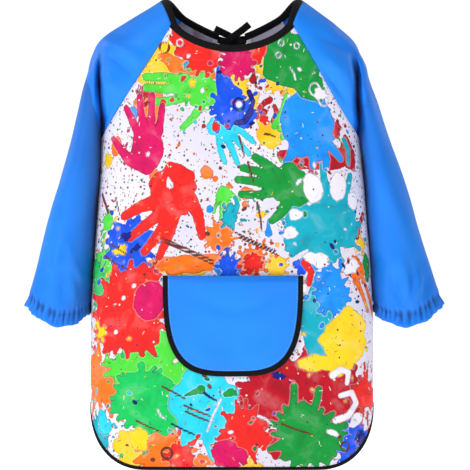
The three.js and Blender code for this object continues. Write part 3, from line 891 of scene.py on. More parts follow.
# places as seen from the front: x from the middle and height from the hem, in mm
motifs = {
    "yellow": [
        (blob, -104, 512, 27, 23, 30, 0.3, 3), (splat, -96, 536, 15, 9, 0.7, 4),
        (splat, 4, 494, 17, 16, 0.6, 6, 1.1), (splat, 24, 474, 13, 13, 0.7, 7),
        (splat, 64, 502, 15, 14, 0.7, 10, 0.8), (splat, 44, 522, 11, 10, 0.6, 11),
        (blob, 88, 490, 15, 7, -25, 0.3, 12), (blob, 53, 432, 17, 18, 10, 0.15, 9),
        (stroke, [(40, 446), (33, 462), (31, 478)], 3.4, 2.4), (splat, -149, 272, 19, 14, 0.5, 13, 1.1),
        (splat, 58, 263, 14, 9, 0.3, 14), (blob, -60, 262, 36, 12, 5, 0.3, 21),
        (blob, -128, 30, 26, 24, -30, 0.2, 8), (blob, -106, 14, 24, 12, -20, 0.2, 15),
        (blob, 12, 10, 24, 10, 0, 0.3, 16), (blob, 40, 330, 7, 5, 0, 0.3, 22),
        (blob, -86, 150, 14, 18, 30, 0.4, 23), (splat, 172, 292, 8, 9, 0.7, 24),
        (blob, -30, 138, 9, 6, 0, 0.3, 25), (blob, 62, 130, 10, 8, 0, 0.4, 26),
        (blob, 98, 210, 14, 12, 0, 0.3, 27), (blob, -172, 400, 8, 10, 0, 0.3, 28),
    ],
    "orange": [
        (splat, -17, 302, 18, 12, 0.5, 31, 0.95), (blob, -62, 266, 52, 13, 3, 0.3, 32),
        (blob, -78, 524, 26, 12, -28, 0.3, 37), (blob, -44, 514, 20, 10, -15, 0.3, 30),
        (blob, -118, 468, 20, 24, 10, 0.25, 36), (blob, -161, 418, 8, 13, -8, 0.08, 43),
        (blob, -108, 382, 8, 8, 0, 0.12, 44), (blob, -35, 384, 9, 9, 0, 0.2, 45), (blob, -23, 376, 4, 4),
        (blob, -4, 365, 5.4, 5), (blob, 21, 357, 12, 8, 0, 0.12, 33), (blob, 18, 343, 5, 4.4),
        (splat, -172, 114, 24, 12, 0.5, 34, 1.7), (splat, -88, 24, 33, 14, 0.35, 35, 0.7),
        (splat, 27, 270, 17, 12, 0.4, 38), (stroke, [(-103, 272), (-124, 243), (-150, 214)], 2.4, 1.8),
        (stroke, [(164, 241), (170, 226), (176, 205)], 4, 3),
        (stroke, [(172, 246), (179, 222), (182, 200)], 3, 4), (splat, 166, 258, 12, 10, 0.8, 39),
        (blob, -36, 12, 16, 9, 0, 0.3, 42), (blob, -166, 208, 12, 10, 30, 0.4, 46),
        (drip, 140, 144, 5, 18, 160), (blob, 84, 500, 7, 4.6),
    ],
    "crimson": [
        (stroke, [(54, 478), (46, 474), (38, 466)], 4.6, 3.4),
        (stroke, [(46, 462), (36, 456), (26, 462)], 4.6, 3), (drip, 30, 504, 5.6, 15, 85),
        (splat, 143, 440, 13, 8, 0.2, 53), (stroke, [(70, 406), (82, 408), (90, 402)], 7, 5),
        (blob, 130, 402, 46, 16, 0, 0.12, 54), (blob, 96, 402, 16, 13, 20, 0.25, 55),
        (blob, 164, 408, 13, 21, 0, 0.2, 56), (stroke, [(58, 450), (64, 462), (60, 470)], 3.6, 3),
        (splat, 84, 98, 68, 18, 0.35, 57, 0.62, 6), (splat, 134, 92, 40, 14, 0.45, 58, 0.85),
        (drip, 108, 219, 5.4, 15, 30), (drip, 144, 216, 5, 33, 205),
        (stroke, [(-18, 40), (-2, 30), (14, 20)], 12, 8), (blob, 60, 36, 20, 18, 0, 0.2, 59),
        (blob, -40, 444, 3.6, 3), (splat, -120, 488, 8, 10, 0.6, 60),
        (stroke, [(178, 330), (172, 316), (168, 300)], 4, 3),
    ],
    "lightGreen": [
        (blob, -43, 489, 24, 23, 10, 0.12, 60), (blob, -66, 497, 22, 14, 0, 0.3, 66),
        (stroke, [(-70, 503), (-96, 508), (-122, 508)], 7, 5),
        (stroke, [(-68, 492), (-96, 492), (-122, 494)], 6.4, 5),
        (stroke, [(-64, 482), (-90, 476), (-112, 476)], 6.4, 5),
        (stroke, [(-44, 470), (-56, 454), (-70, 442)], 6, 4.2), (hand, -12, 354, 0.46, -82, 1, 0.9, 61),
        (blob, -92, 158, 22, 34, 12, 0.28, 62), (splat, -128, 132, 30, 14, 0.6, 63, 0.7),
        (blob, -90, 120, 20, 26, 0, 0.3, 67), (blob, -66, 128, 18, 14, 0, 0.3, 68),
        (splat, -168, 320, 10, 8, 0.7, 69), (stroke, [(60, 444), (72, 464), (78, 484)], 4.6, 4),
        (stroke, [(68, 440), (82, 456), (92, 472)], 4.4, 3.8),
        (stroke, [(72, 430), (86, 442), (98, 454)], 4.2, 3.6),
        (stroke, [(-166, 216), (-146, 224), (-132, 238)], 4.4, 3.4),
        (stroke, [(-170, 198), (-150, 208), (-138, 220)], 4.2, 3.2), (splat, -168, 250, 21, 11, 0.5, 72, 1.5),
        (stroke, [(-160, 236), (-140, 246), (-126, 250)], 4, 3.4),
    ],
    "emerald": [
        (splat, -113, 90, 42, 18, 0.22, 71, 0.9), (blob, -96, 66, 30, 22, 0, 0.2, 70),
        (splat, -176, 246, 14, 9, 0.5, 73, 2.0), (blob, -60, 520, 6, 5),
        (stroke, [(116, 420), (122, 432), (120, 440)], 2.4, 2),
    ],
    "teal": [
        (splat, 124, 318, 46, 13, 0.3, 81, 1.08), (stroke, [(122, 350), (127, 372), (126, 394)], 7, 4),
        (stroke, [(150, 346), (160, 366), (164, 380)], 7, 4.4),
        (stroke, [(98, 292), (82, 290), (74, 286)], 6, 4.5), (blob, 112, 190, 24, 50, -4, 0.14, 82),
        (blob, 132, 170, 18, 26, 0, 0.2, 83), (blob, 104, 245, 9, 7),
        (stroke, [(4, 330), (8, 342), (4, 352)], 3.2, 2.6), (splat, -4, 324, 9, 8, 0.6, 84),
        (blob, 73, 298, 5, 6), (blob, -2, 338, 5, 7), (splat, -172, 44, 15, 10, 0.5, 85, 1.6),
        (blob, -64, 524, 6, 4, 20, 0.3, 86), (stroke, [(160, 426), (164, 414), (163, 396)], 4, 3),
    ],
    "cyan": [
        (blob, -12, 443, 21, 19, -20, 0.16, 90), (stroke, [(-18, 428), (-16, 412), (-10, 398)], 5.2, 3.6),
        (stroke, [(-6, 426), (2, 410), (8, 396)], 5.2, 3.6), (stroke, [(2, 432), (14, 418), (24, 408)], 5, 3.6),
        (stroke, [(8, 442), (20, 432), (30, 424)], 4.6, 3.6),
        (stroke, [(-2, 454), (12, 460), (20, 458)], 5, 3.6), (blob, -34, 84, 46, 50, 0, 0.14, 92),
        (stroke, [(-58, 60), (-58, 36), (-60, 18)], 10, 6), (stroke, [(-30, 46), (-26, 30), (-24, 18)], 10, 6),
        (stroke, [(-12, 60), (0, 44), (8, 30)], 10, 6), (blob, -166, 60, 11, 16, 0, 0.3, 93),
    ],
    "azure": [
        (blob, 103, 450, 32, 46, -8, 0.12, 101), (blob, 124, 440, 24, 36, 0, 0.14, 104),
        (stroke, [(90, 424), (84, 408), (74, 396)], 9, 4), (stroke, [(112, 414), (114, 402), (112, 392)], 8, 4),
        (stroke, [(136, 424), (146, 410), (152, 402)], 7, 4),
        (stroke, [(128, 416), (132, 402), (130, 390)], 7, 4), (splat, 130, 232, 22, 13, 0.35, 102, 1.4),
        (drip, 49, 306, 5.4, 19, 90), (blob, -4, 256, 16, 20, 0, 0.25, 103),
        (blob, -139, 462, 6, 10, 20, 0.3, 105), (blob, 70, 240, 12, 9, 0, 0.3, 106), (blob, -30, 337, 5, 5),
        (blob, 100, 266, 14, 10, 0, 0.3, 107), (drip, 166, 24, 6, 16, 120),
    ],
    "blue": [
        (splat, -5, 470, 24, 12, 0.25, 111, 0.85), (stroke, [(-16, 522), (-13, 504), (-6, 484)], 6, 15),
        (blob, 18, 462, 16, 14, 20, 0.2, 112), (stroke, [(8, 452), (18, 446), (28, 456)], 7, 5),
        (splat, -136, 290, 33, 14, 0.3, 113, 1.0), (splat, -4, 262, 11, 10, 0.5, 114, 1.4),
        (splat, 158, 32, 25, 13, 0.35, 115, 1.0), (stroke, [(-130, 268), (-122, 250), (-124, 240)], 12, 6),
        (blob, 90, 262, 10, 8, 0, 0.4, 116), (splat, 8, 50, 6, 8, 0.8, 117),
    ],
    "red": [
        (blob, -66, 548, 26, 15, -32, 0.25, 121), (splat, -40, 534, 22, 12, 0.4, 122, 0.9),
        (blob, 30, 534, 16, 13, 10, 0.25, 123), (splat, 46, 548, 10, 10, 0.6, 124),
        (splat, -136, 204, 46, 20, 0.35, 125, 1.15, 6), (blob, -160, 190, 24, 36, 0, 0.15, 126),
        (blob, -110, 250, 18, 12, 0, 0.3, 127), (splat, 174, 96, 15, 10, 0.4, 128, 2.4),
        (blob, -81, 362, 34, 33, 0, 0.12, 129), (stroke, [(-104, 346), (-124, 340), (-146, 328)], 10, 6),
        (stroke, [(-92, 334), (-114, 318), (-136, 300)], 9, 5.4),
        (stroke, [(-84, 330), (-98, 304), (-116, 282)], 9, 5.4),
        (stroke, [(-76, 332), (-84, 304), (-96, 276)], 8, 5),
        (stroke, [(-56, 348), (-46, 330), (-40, 302)], 10, 5.4), (splat, 16, 48, 26, 13, 0.35, 130, 1.3),
        (splat, -66, 16, 17, 11, 0.4, 131), (blob, -74, 232, 3.4, 3), (splat, 28, 268, 10, 12, 0.25, 132),
        (stroke, [(96, 268), (104, 256), (100, 240)], 5.4, 3.5), (blob, -23, 443, 6, 6), (blob, -98, 474, 5, 5),
        (blob, -85, 478, 3.4, 3), (blob, 46, 452, 7, 6, 0, 0.3, 133), (blob, -6, 444, 3, 2.4),
        (blob, 82, 502, 5, 3.4),
    ],
    "magenta": [
        (splat, 7, 528, 21, 16, 0.2, 134, 1.0), (blob, -119, 416, 24, 28, 0, 0.1, 135),
        (stroke, [(-118, 392), (-142, 400), (-166, 428)], 11, 4),
        (stroke, [(-132, 434), (-142, 456), (-148, 468)], 6, 4.2),
        (stroke, [(-122, 438), (-128, 460), (-130, 482)], 5.8, 4.2),
        (stroke, [(-114, 438), (-114, 462), (-113, 484)], 5.8, 4.2),
        (stroke, [(-104, 434), (-101, 452), (-99, 470)], 5.8, 4.2), (blob, -107, 219, 21, 25, -20, 0.05, 136),
        (blob, -4, 20, 24, 17, -15, 0.12, 137),
    ],
    "darkGreen": [
        (blob, 84, 528, 40, 36, -30, 0.12, 141), (blob, 112, 496, 26, 18, -20, 0.18, 142),
        (blob, 66, 556, 20, 16, 0, 0.2, 143), (blob, 77, 369, 29, 27, 0, 0.12, 144),
        (blob, 94, 366, 16, 22, 0, 0.2, 148), (stroke, [(62, 384), (46, 396), (32, 404)], 7.4, 5.4),
        (stroke, [(54, 378), (34, 386), (15, 390)], 6.4, 5), (stroke, [(52, 368), (30, 373), (8, 375)], 6.4, 5),
        (stroke, [(54, 358), (34, 355), (13, 356)], 6.4, 5), (stroke, [(76, 348), (68, 334), (54, 322)], 9, 5),
        (splat, 98, 44, 42, 18, 0.3, 145, 0.85), (stroke, [(78, 78), (80, 94), (80, 108)], 5, 4.4),
        (stroke, [(104, 74), (110, 90), (112, 104)], 5, 4.4), (blob, 178, 262, 9, 18, 0, 0.2, 146),
        (drip, -40, 104, 6, 24, 200), (blob, -2, 100, 8, 6, 0, 0.3, 147),
    ],
    "sun": [
        (blob, 148, 172, 36, 32, 0, 0.16, 151), (blob, 112, 138, 26, 12, 0, 0.25, 157),
        (blob, 140, 136, 20, 14, 0, 0.2, 158), (splat, -169, 177, 7, 6, 0.5, 152),
        (blob, -148, 284, 10, 6, 40, 0.4, 155), (blob, -112, 528, 10, 5, 30, 0.4, 153),
        (blob, -56, 500, 5, 6, 0, 0.2, 154), (blob, -120, 40, 14, 14, 0, 0.2, 159),
    ],
    "brown": [
        (stroke, [(4, 307), (30, 295), (58, 283)], 1.1, 0.9),
        (stroke, [(10, 300), (36, 288), (64, 276)], 1.1, 0.9),
        (stroke, [(-94, 300), (-60, 286), (-24, 270)], 1.1, 0.9),
        (stroke, [(-90, 294), (-56, 280), (-22, 264)], 1.1, 0.9),
        (stroke, [(34, 346), (38, 328), (40, 310)], 1.3, 1.0),
        (stroke, [(10, 431), (14, 418), (17, 405)], 1.3, 1.0),
        (stroke, [(46, 434), (54, 433), (62, 430)], 1.5, 1.1),
        (stroke, [(-162, 292), (-146, 282), (-130, 274)], 1.3, 1.0),
        (stroke, [(-168, 276), (-152, 266), (-136, 258)], 1.3, 1.0),
        (stroke, [(-160, 352), (-156, 340), (-153, 330)], 1.3, 1.0),
        (stroke, [(-90, 108), (-74, 100), (-60, 92)], 1.2, 1.0),
        (stroke, [(-124, 64), (-108, 56), (-92, 50)], 1.2, 1.0),
        (stroke, [(64, 60), (84, 52), (104, 46)], 1.3, 1.0), (ring, -96, 546, 7, 2.4), (ring, 146, 30, 6, 2),
        (stroke, [(22, 398), (26, 384), (30, 372)], 1.2, 1.0),
        (stroke, [(-178, 356), (-172, 342), (-168, 332)], 2.0, 1.6), (ring, -84, 22, 7, 2.6),
        (stroke, [(-62, 84), (-44, 76), (-28, 70)], 1.2, 1.0),
        (stroke, [(-60, 76), (-42, 68), (-26, 62)], 1.2, 1.0),
    ],
    "navy": [
        (ring, 10, 472, 8, 2.2), (stroke, [(24, 488), (30, 476), (26, 462)], 3.4, 2.6),
        (stroke, [(26, 462), (18, 450), (6, 448)], 4.4, 3),
        (stroke, [(-78, 60), (-62, 52), (-48, 46)], 1.2, 1.0),
        (stroke, [(-36, 100), (-28, 94), (-20, 90)], 1.6, 1.2), (blob, -142, 302, 8, 5, 30, 0.4, 171),
        (blob, -128, 286, 7, 4, 30, 0.4, 172), (splat, 166, 40, 4, 8, 1.2, 173),
        (stroke, [(154, 270), (160, 262), (166, 252)], 1.6, 1.2),
        (stroke, [(146, 266), (152, 258), (156, 250)], 1.4, 1.1), (blob, 60, 122, 8, 5, 0, 0.3, 174),
    ],
    "cream": [
        (blob, 10, 472, 4.4, 4.4, 0, 0.05, 181), (blob, 111, 364, 13, 20, 12, 0.08, 182),
        (blob, 146, 366, 13, 18, -8, 0.08, 183), (blob, 86, 330, 10, 7, 0, 0.2, 190),
        (blob, 78, 306, 11, 7, 10, 0.2, 191), (blob, 166, 348, 8, 12, 0, 0.15, 192), (ring, 118, 492, 8, 2.4),
        (ring, 132, 478, 8, 2.4), (blob, 126, 486, 10, 7, -50, 0.3, 193),
        (stroke, [(130, 122), (140, 130), (150, 126), (148, 112)], 4.4, 3),
        (stroke, [(140, 96), (154, 100), (160, 86), (150, 70), (134, 64)], 3.4, 4.4),
        (blob, 160, 64, 11, 8, 40, 0.2, 184), (blob, 130, 48, 8, 4, -30, 0.3, 194),
        (blob, 158, 262, 12, 8, 20, 0.3, 195), (blob, 112, 272, 20, 8, -12, 0.25, 196), (blob, -141, 222, 3, 3),
        (blob, -128, 238, 3.2, 3), (blob, -150, 178, 3, 3), (ring, -74, 552, 4.6, 1.9), (ring, 70, 552, 4, 1.8),
        (ring, 66, 536, 4, 1.8), (ring, 92, 548, 4, 1.8), (blob, -118, 408, 4, 2.4, 30, 0.4, 185),
        (blob, -86, 370, 4, 7, 10, 0.4, 186), (blob, 92, 372, 6, 2.4, 50, 0.4, 187),
        (stroke, [(82, 520), (88, 512), (90, 504)], 1.5, 1.2),
        (stroke, [(-96, 78), (-92, 70), (-86, 66)], 1.5, 1.2),
        (stroke, [(34, 70), (44, 66), (50, 60)], 1.8, 1.3), (blob, -42, 490, 4, 2.6, 50, 0.3, 188),
        (stroke, [(-14, 92), (-24, 72), (-32, 50)], 1.5, 1.2),
    ],
}


def paintOn(piece, arc, z, arcOf, seed):
    # one attribute per ink, with loose droplets that fall near its own shapes
    for order, (ink, *_) in enumerate(inks):
        draw = random.Random(seed + order)
        best = np.full(arc.shape, -60.0)
        centres = []
        for shape, first, *rest in motifs[ink]:
            if shape is stroke:
                points = [(float(arcOf(px)), pz) for px, pz in first]
                best = np.maximum(best, stroke(arc, z, points, *rest))
                centres.append(points[0])
            else:
                cx = float(arcOf(first))
                best = np.maximum(best, shape(arc, z, cx, *rest))
                centres.append((cx, rest[0]))
        for i in range(22 if ink in thinInks else 30):
            cx, cz = draw.choice(centres)
            far, angle = 14 + 50 * draw.random() ** 1.3, draw.uniform(0, fullTurn)
            size = draw.uniform(1.1, 2.6)
            best = np.maximum(best, blob(arc, z, cx + far * math.cos(angle), cz + far * math.sin(angle),
                                         size * draw.uniform(1, 1.8), size, draw.uniform(0, 180), 0.05, seed + i))
        ragged = 0.55 * softWaves(arc, z, 9, 40 + order) + 0.35 * softWaves(arc, z, 5.5, 70 + order)
        thin = ink in thinInks
        addAttribute(piece, ink, best + (0.2 * ragged + 0.35 if thin else ragged))


# the printed body: a front panel, and two back panels that open down the middle
panelCut = {"column": 2.45, "rows": 224, "backRows": 150, "backColumn": 3.4, "seamTuck": 0.9, "seamWidth": 2.2,
            "seamSlope": 0.75, "hemStrip": 6.5, "backPrintTop": 590}


def bodyPanel(face, low, high, column, rows):
    # from one arc length to another, and from the hem up to the neck or the raglan seam
    count = int(round((high - low) / column))
    arc = np.linspace(low, high, count + 1)
    share = np.clip(shareAt(face, arc), -1, 1)
    start = seamStart(face)
    for side in (-1, 1):  # a column stands exactly where the raglan seam begins
        if share[0] < side * start < share[-1]:
            share[np.argmin(np.abs(share - side * start))] = side * start
    bottom = hemHeight(share) + cut["hemRise"]
    top = panelTop(face, share)
    v = np.linspace(0, 1, rows + 1)[:, None]
    z = bottom + (top - bottom) * v
    seam = np.where(np.abs(share) >= start, (top - z) * panelCut["seamSlope"], 99.0)
    tuck = -panelCut["seamTuck"] * (1 - smooth(seam, 0, panelCut["seamWidth"]))
    points = torso(face, np.broadcast_to(share, z.shape), z, tuck)
    arcGrid = np.broadcast_to(arcAt(face, share), z.shape)
    return points, clothUv(arcGrid, z, z.shape), arcGrid, z


def frontArc(x):
    return arcAt(-1, x / cut["hemHalf"])


def makeFront():
    reach = float(arcs[-1][1][-1])
    points, uv, arc, z = bodyPanel(-1, -reach, reach, panelCut["column"], panelCut["rows"])
    panel = gridMesh("frontPanel", points, uv)
    give(panel, printCloth, printBack)
    paintOn(panel, arc, z, frontArc, 500)
    area = sum(f.area for f in panel.data.polygons)
    thicken(panel, cut["cloth"], inside=1)
    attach(panel, "torso")
    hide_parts("front_panel")
    print("front panel", round(area, 3), "square metres")
    return panel


def foldBlend(piece):
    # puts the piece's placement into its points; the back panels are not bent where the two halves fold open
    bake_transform(piece)


def makeBack(side):
    name = sideNames[side]
    reach = float(arcs[1][1][-1])
    edge = float(arcAt(1, cut["backEdge"] / cut["armpitHalf"]))
    low, high = (-reach, -edge) if side < 0 else (edge, reach)
    points, uv, arc, z = bodyPanel(1, low, high, panelCut["backColumn"], panelCut["backRows"])
    panel = gridMesh(name + "BackPanel", points, uv, flip=True)
    give(panel, printCloth, printBack, hemCloth)
    # the same cloth, cut from another part of the print
    there = -(arc - side * reach) if side > 0 else -(arc + reach)
    paintOn(panel, there, panelCut["backPrintTop"] - z, frontArc, 600 + side)
    thicken(panel, cut["cloth"], inside=1)
    hemmed = (cut["backEdge"] + panelCut["hemStrip"]) * mm
    for face in panel.data.polygons:
        if abs(face.center.x) < hemmed:
            face.material_index = 2
    foldBlend(panel)
    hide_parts(f"{name}_back_panel", f"{name}_back_flap")
    return panel


makeFront()
for side in (-1, 1):
    makeBack(side)
print("body panels made")

# raglan sleeves: one sheet each from the neck to the gathered cuff
sleeveCut = {
    "ridge": [(95, 605), (106, 597.5), (118, 589.5), (138, 575.5), (152, 565.5), (161.5, 557), (167.7, 549),
              (172, 538.5), (178, 522), (206.3, 427), (238, 323), (269.2, 212.8)],
    "inner": [(168.0, 430), (170.9, 392), (175.8, 330), (180.7, 262), (184.0, 205.8)],
    "turn": 0.283, "neckDepth": 46, "bulge": 30, "armDepth": 38, "cuffDepth": 36, "dip": 24, "dipPower": 6,
    "yokeRows": 40, "armRows": 112, "columns": 176, "cloth": 1.0, "pleats": 34, "pleatDepth": 1.5,
    "lineSteps": 400, "valley": 0.72, "valleyWidth": 4.6, "valleyX": 167.0, "clothSpan": 118,
    "valleyDrop": 20, "valleyFade": (400, 440), "neckRise": 3.0, "elasticStep": 3.0,
    # the folds behind are the same ones, a little lower, wider and shallower
    "backFold": {"share": 0.8, "lower": 9, "wider": 1.15}, "sideFade": 12,
    # waves round the sleeve: how many round it, how fast they turn along it, and height
    "drape": ((3, 13, 1.3), (5, -21, 0.9)),
    # the cuff's turned-in end and its elastic: place along the arm, and depth inside the cloth
    "casing": ((1.0, 1.4), (0.997, 2.9), (0.985, 3.3), (0.972, 3.3), (0.96, 3.3)),
    "elastic": ((0.966, 1.5), (0.975, 1.5), (0.984, 1.5), (0.984, 2.1), (0.975, 2.1), (0.966, 2.1), (0.966, 1.5)),
    # where the cloth would bend when the arm is raised: a narrow slanting strip just outside the armpit. The
    # values are read below, but nothing bends the cloth
    "bend": {"left": {"from": 169.3, "zone": 13.0, "tilt": 0.06},
             "right": {"from": 165.2, "zone": 11.0, "tilt": 0.01}},
    # the first two: reach in mm and strength of the painted shade along the arm's inner edge next to the body
    "innerShade": 4.5, "innerShadeStrength": 0.66, "joinRows": 7.0, "joinRounds": 60,
    # the light comes from the left, so each sleeve is shaded on the side turned away from it
    "softShade": {"left": (0.40, 28.0), "right": (0.2, 11.0)}, "outerShade": {"left": 0.0, "right": 0.13},
}


ridgeLine = curveThrough(sleeveCut["ridge"], sleeveCut["lineSteps"])
innerLine = curveThrough(sleeveCut["inner"], sleeveCut["lineSteps"])


def along(line, t):
    place = np.clip(t, 0, 1) * (len(line) - 1)
    return np.stack([np.interp(place, np.arange(len(line)), line[:, i]) for i in range(2)], -1)


def ridgeAt(section, t):
    turn = sleeveCut["turn"]
    return along(ridgeLine, turn * t if section == "yoke" else turn + (1 - turn) * t)


def yokePoint(t, turnShare, inset=0.0):
    # t runs from the neck to the shoulder edge, turnShare from the front seam to the back seam
    out = np.zeros(np.broadcast(t, turnShare).shape + (3,))
    ridge = ridgeAt("yoke", t)
    for face in (-1, 1):
        start = seamStart(face)
        share = mixed(start, 1.0, t)
        seamZ = seamHeight(face, share)
        seamX = halfWidth(seamZ) * share
        deepness = torsoDepth(face, seamZ) - cut["thinEdge"] + ripple(face, seamX, seamZ)
        seamY = cut["thinEdge"] + deepness * quarter(share, cut["fullness"])
        bulge = mixed(sleeveCut["neckDepth"], sleeveCut["armDepth"], t) + sleeveCut["bulge"] * t * (1 - t)
        deep = np.maximum(bulge, seamY + 0.1)
        end = math.pi - np.arcsin(np.clip(seamY / deep, -1, 1))
        tall = (ridge[..., 1] - seamZ) / (1 - np.cos(end))
        angle = end * np.abs(turnShare)
        x = mixed(ridge[..., 0], seamX, np.abs(turnShare) ** mixed(1.35, 2.0, smooth(t, 0.0, 0.3)))
        y = face * (deep - inset) * np.sin(angle)
        z = ridge[..., 1] - tall + (tall - inset) * np.cos(angle)
        here = np.broadcast_to((turnShare < 0) if face < 0 else (turnShare >= 0), x.shape)
        out[here] = np.stack([x, y, z], -1)[here]
    return out


def pleat(t, angle, side):
    # gathers that the elastic draws up, deepest at the cuff
    reach = smooth(t, 0.905, 0.972)
    uneven = sleeveCut["pleats"] * angle + 1.3 * np.sin(3 * angle + side) + 0.9 * np.sin(7 * angle + 2 * side)
    wave = np.sin(uneven)
    second = np.sin(0.5 * sleeveCut["pleats"] * angle + 2.0 * np.sin(2 * angle + 1.7 * side))
    squeeze = 1.6 * np.exp(-((t - 0.958) / 0.016) ** 2) - 1.8 * smooth(t, 0.975, 1.0)
    return sleeveCut["pleatDepth"] * (0.75 * wave + 0.5 * second) * reach ** 1.4 - squeeze * reach


def armPoint(t, turnShare, side, inset=0.0):
    angle = math.pi * turnShare
    outer, inner = ridgeAt("arm", t), along(innerLine, t)
    middle, across = (outer + inner) / 2, (outer - inner) / 2
    size = np.linalg.norm(across, axis=-1)
    grow = pleat(t, angle, side) - inset
    across = across * ((size + grow) / size)[..., None]
    deep = mixed(sleeveCut["armDepth"], sleeveCut["cuffDepth"], t) + grow
    x = middle[..., 0] + across[..., 0] * np.cos(angle)
    z = middle[..., 1] + across[..., 1] * np.cos(angle)
    y = deep * np.sin(angle)
    z = z - sleeveCut["dip"] * t ** sleeveCut["dipPower"] * np.sin(angle) ** 2
    z = z + 1.2 * np.sin(9 * angle + side) * smooth(t, 0.95, 1)
    return np.stack([x, y, z], -1)


def cuffRings(rings, turnShare, side):
    return np.stack([armPoint(np.full_like(turnShare, t), turnShare, side, inset)[0] for t, inset in rings])


# folds of each sleeve: points, height and width, as seen from the front
sleeveFolds = {
    "left": [
        ([(166, 556), (146, 546), (122, 533), (104, 520)], 4.6, 8),
        ([(160, 545), (140, 530), (122, 508)], -4.4, 8), ([(152, 562), (130, 566), (106, 578)], -2.2, 8),
        ([(164, 520), (150, 500), (140, 488)], 3.2, 8),
        ([(178, 520), (190, 450), (200, 390), (216, 316)], 2.4, 12),
        ([(182, 460), (196, 380), (210, 306), (220, 244)], -2.2, 11),
        ([(176, 430), (192, 396), (214, 362), (228, 346)], 1.8, 11),
        ([(186, 330), (208, 312), (236, 306)], -1.2, 10), ([(190, 290), (214, 270), (244, 262)], 1.2, 10),
        ([(192, 240), (206, 262), (214, 300)], 2.6, 7), ([(236, 226), (232, 260), (222, 300)], 2.6, 7),
        ([(250, 226), (246, 262), (238, 290)], -2.2, 6), ([(222, 212), (222, 240), (220, 262)], -2.6, 5),
        ([(206, 214), (208, 236), (212, 256)], 2.2, 5),
    ],
    "right": [
        ([(104, 560), (126, 556), (150, 548), (164, 540)], -5.0, 8),
        ([(100, 584), (122, 578), (146, 564)], 3.8, 10), ([(108, 536), (130, 528), (150, 512)], 4.0, 9),
        ([(120, 508), (140, 494), (156, 470)], -3.2, 8),
        ([(178, 500), (190, 430), (206, 360), (224, 290)], 2.0, 14),
        ([(186, 470), (206, 390), (226, 320), (244, 262)], -1.6, 11),
        ([(186, 300), (200, 276), (214, 262)], 1.4, 9), ([(226, 208), (224, 240), (216, 280)], 3.2, 6),
        ([(226, 208), (238, 236), (246, 262)], 3.0, 6), ([(226, 208), (231, 240), (232, 270)], -3.2, 5),
        ([(222, 208), (210, 232), (204, 262)], -3.0, 5), ([(200, 212), (200, 240), (204, 270)], 2.6, 6),
        ([(250, 216), (248, 246), (240, 280)], -2.4, 6),
    ],
}


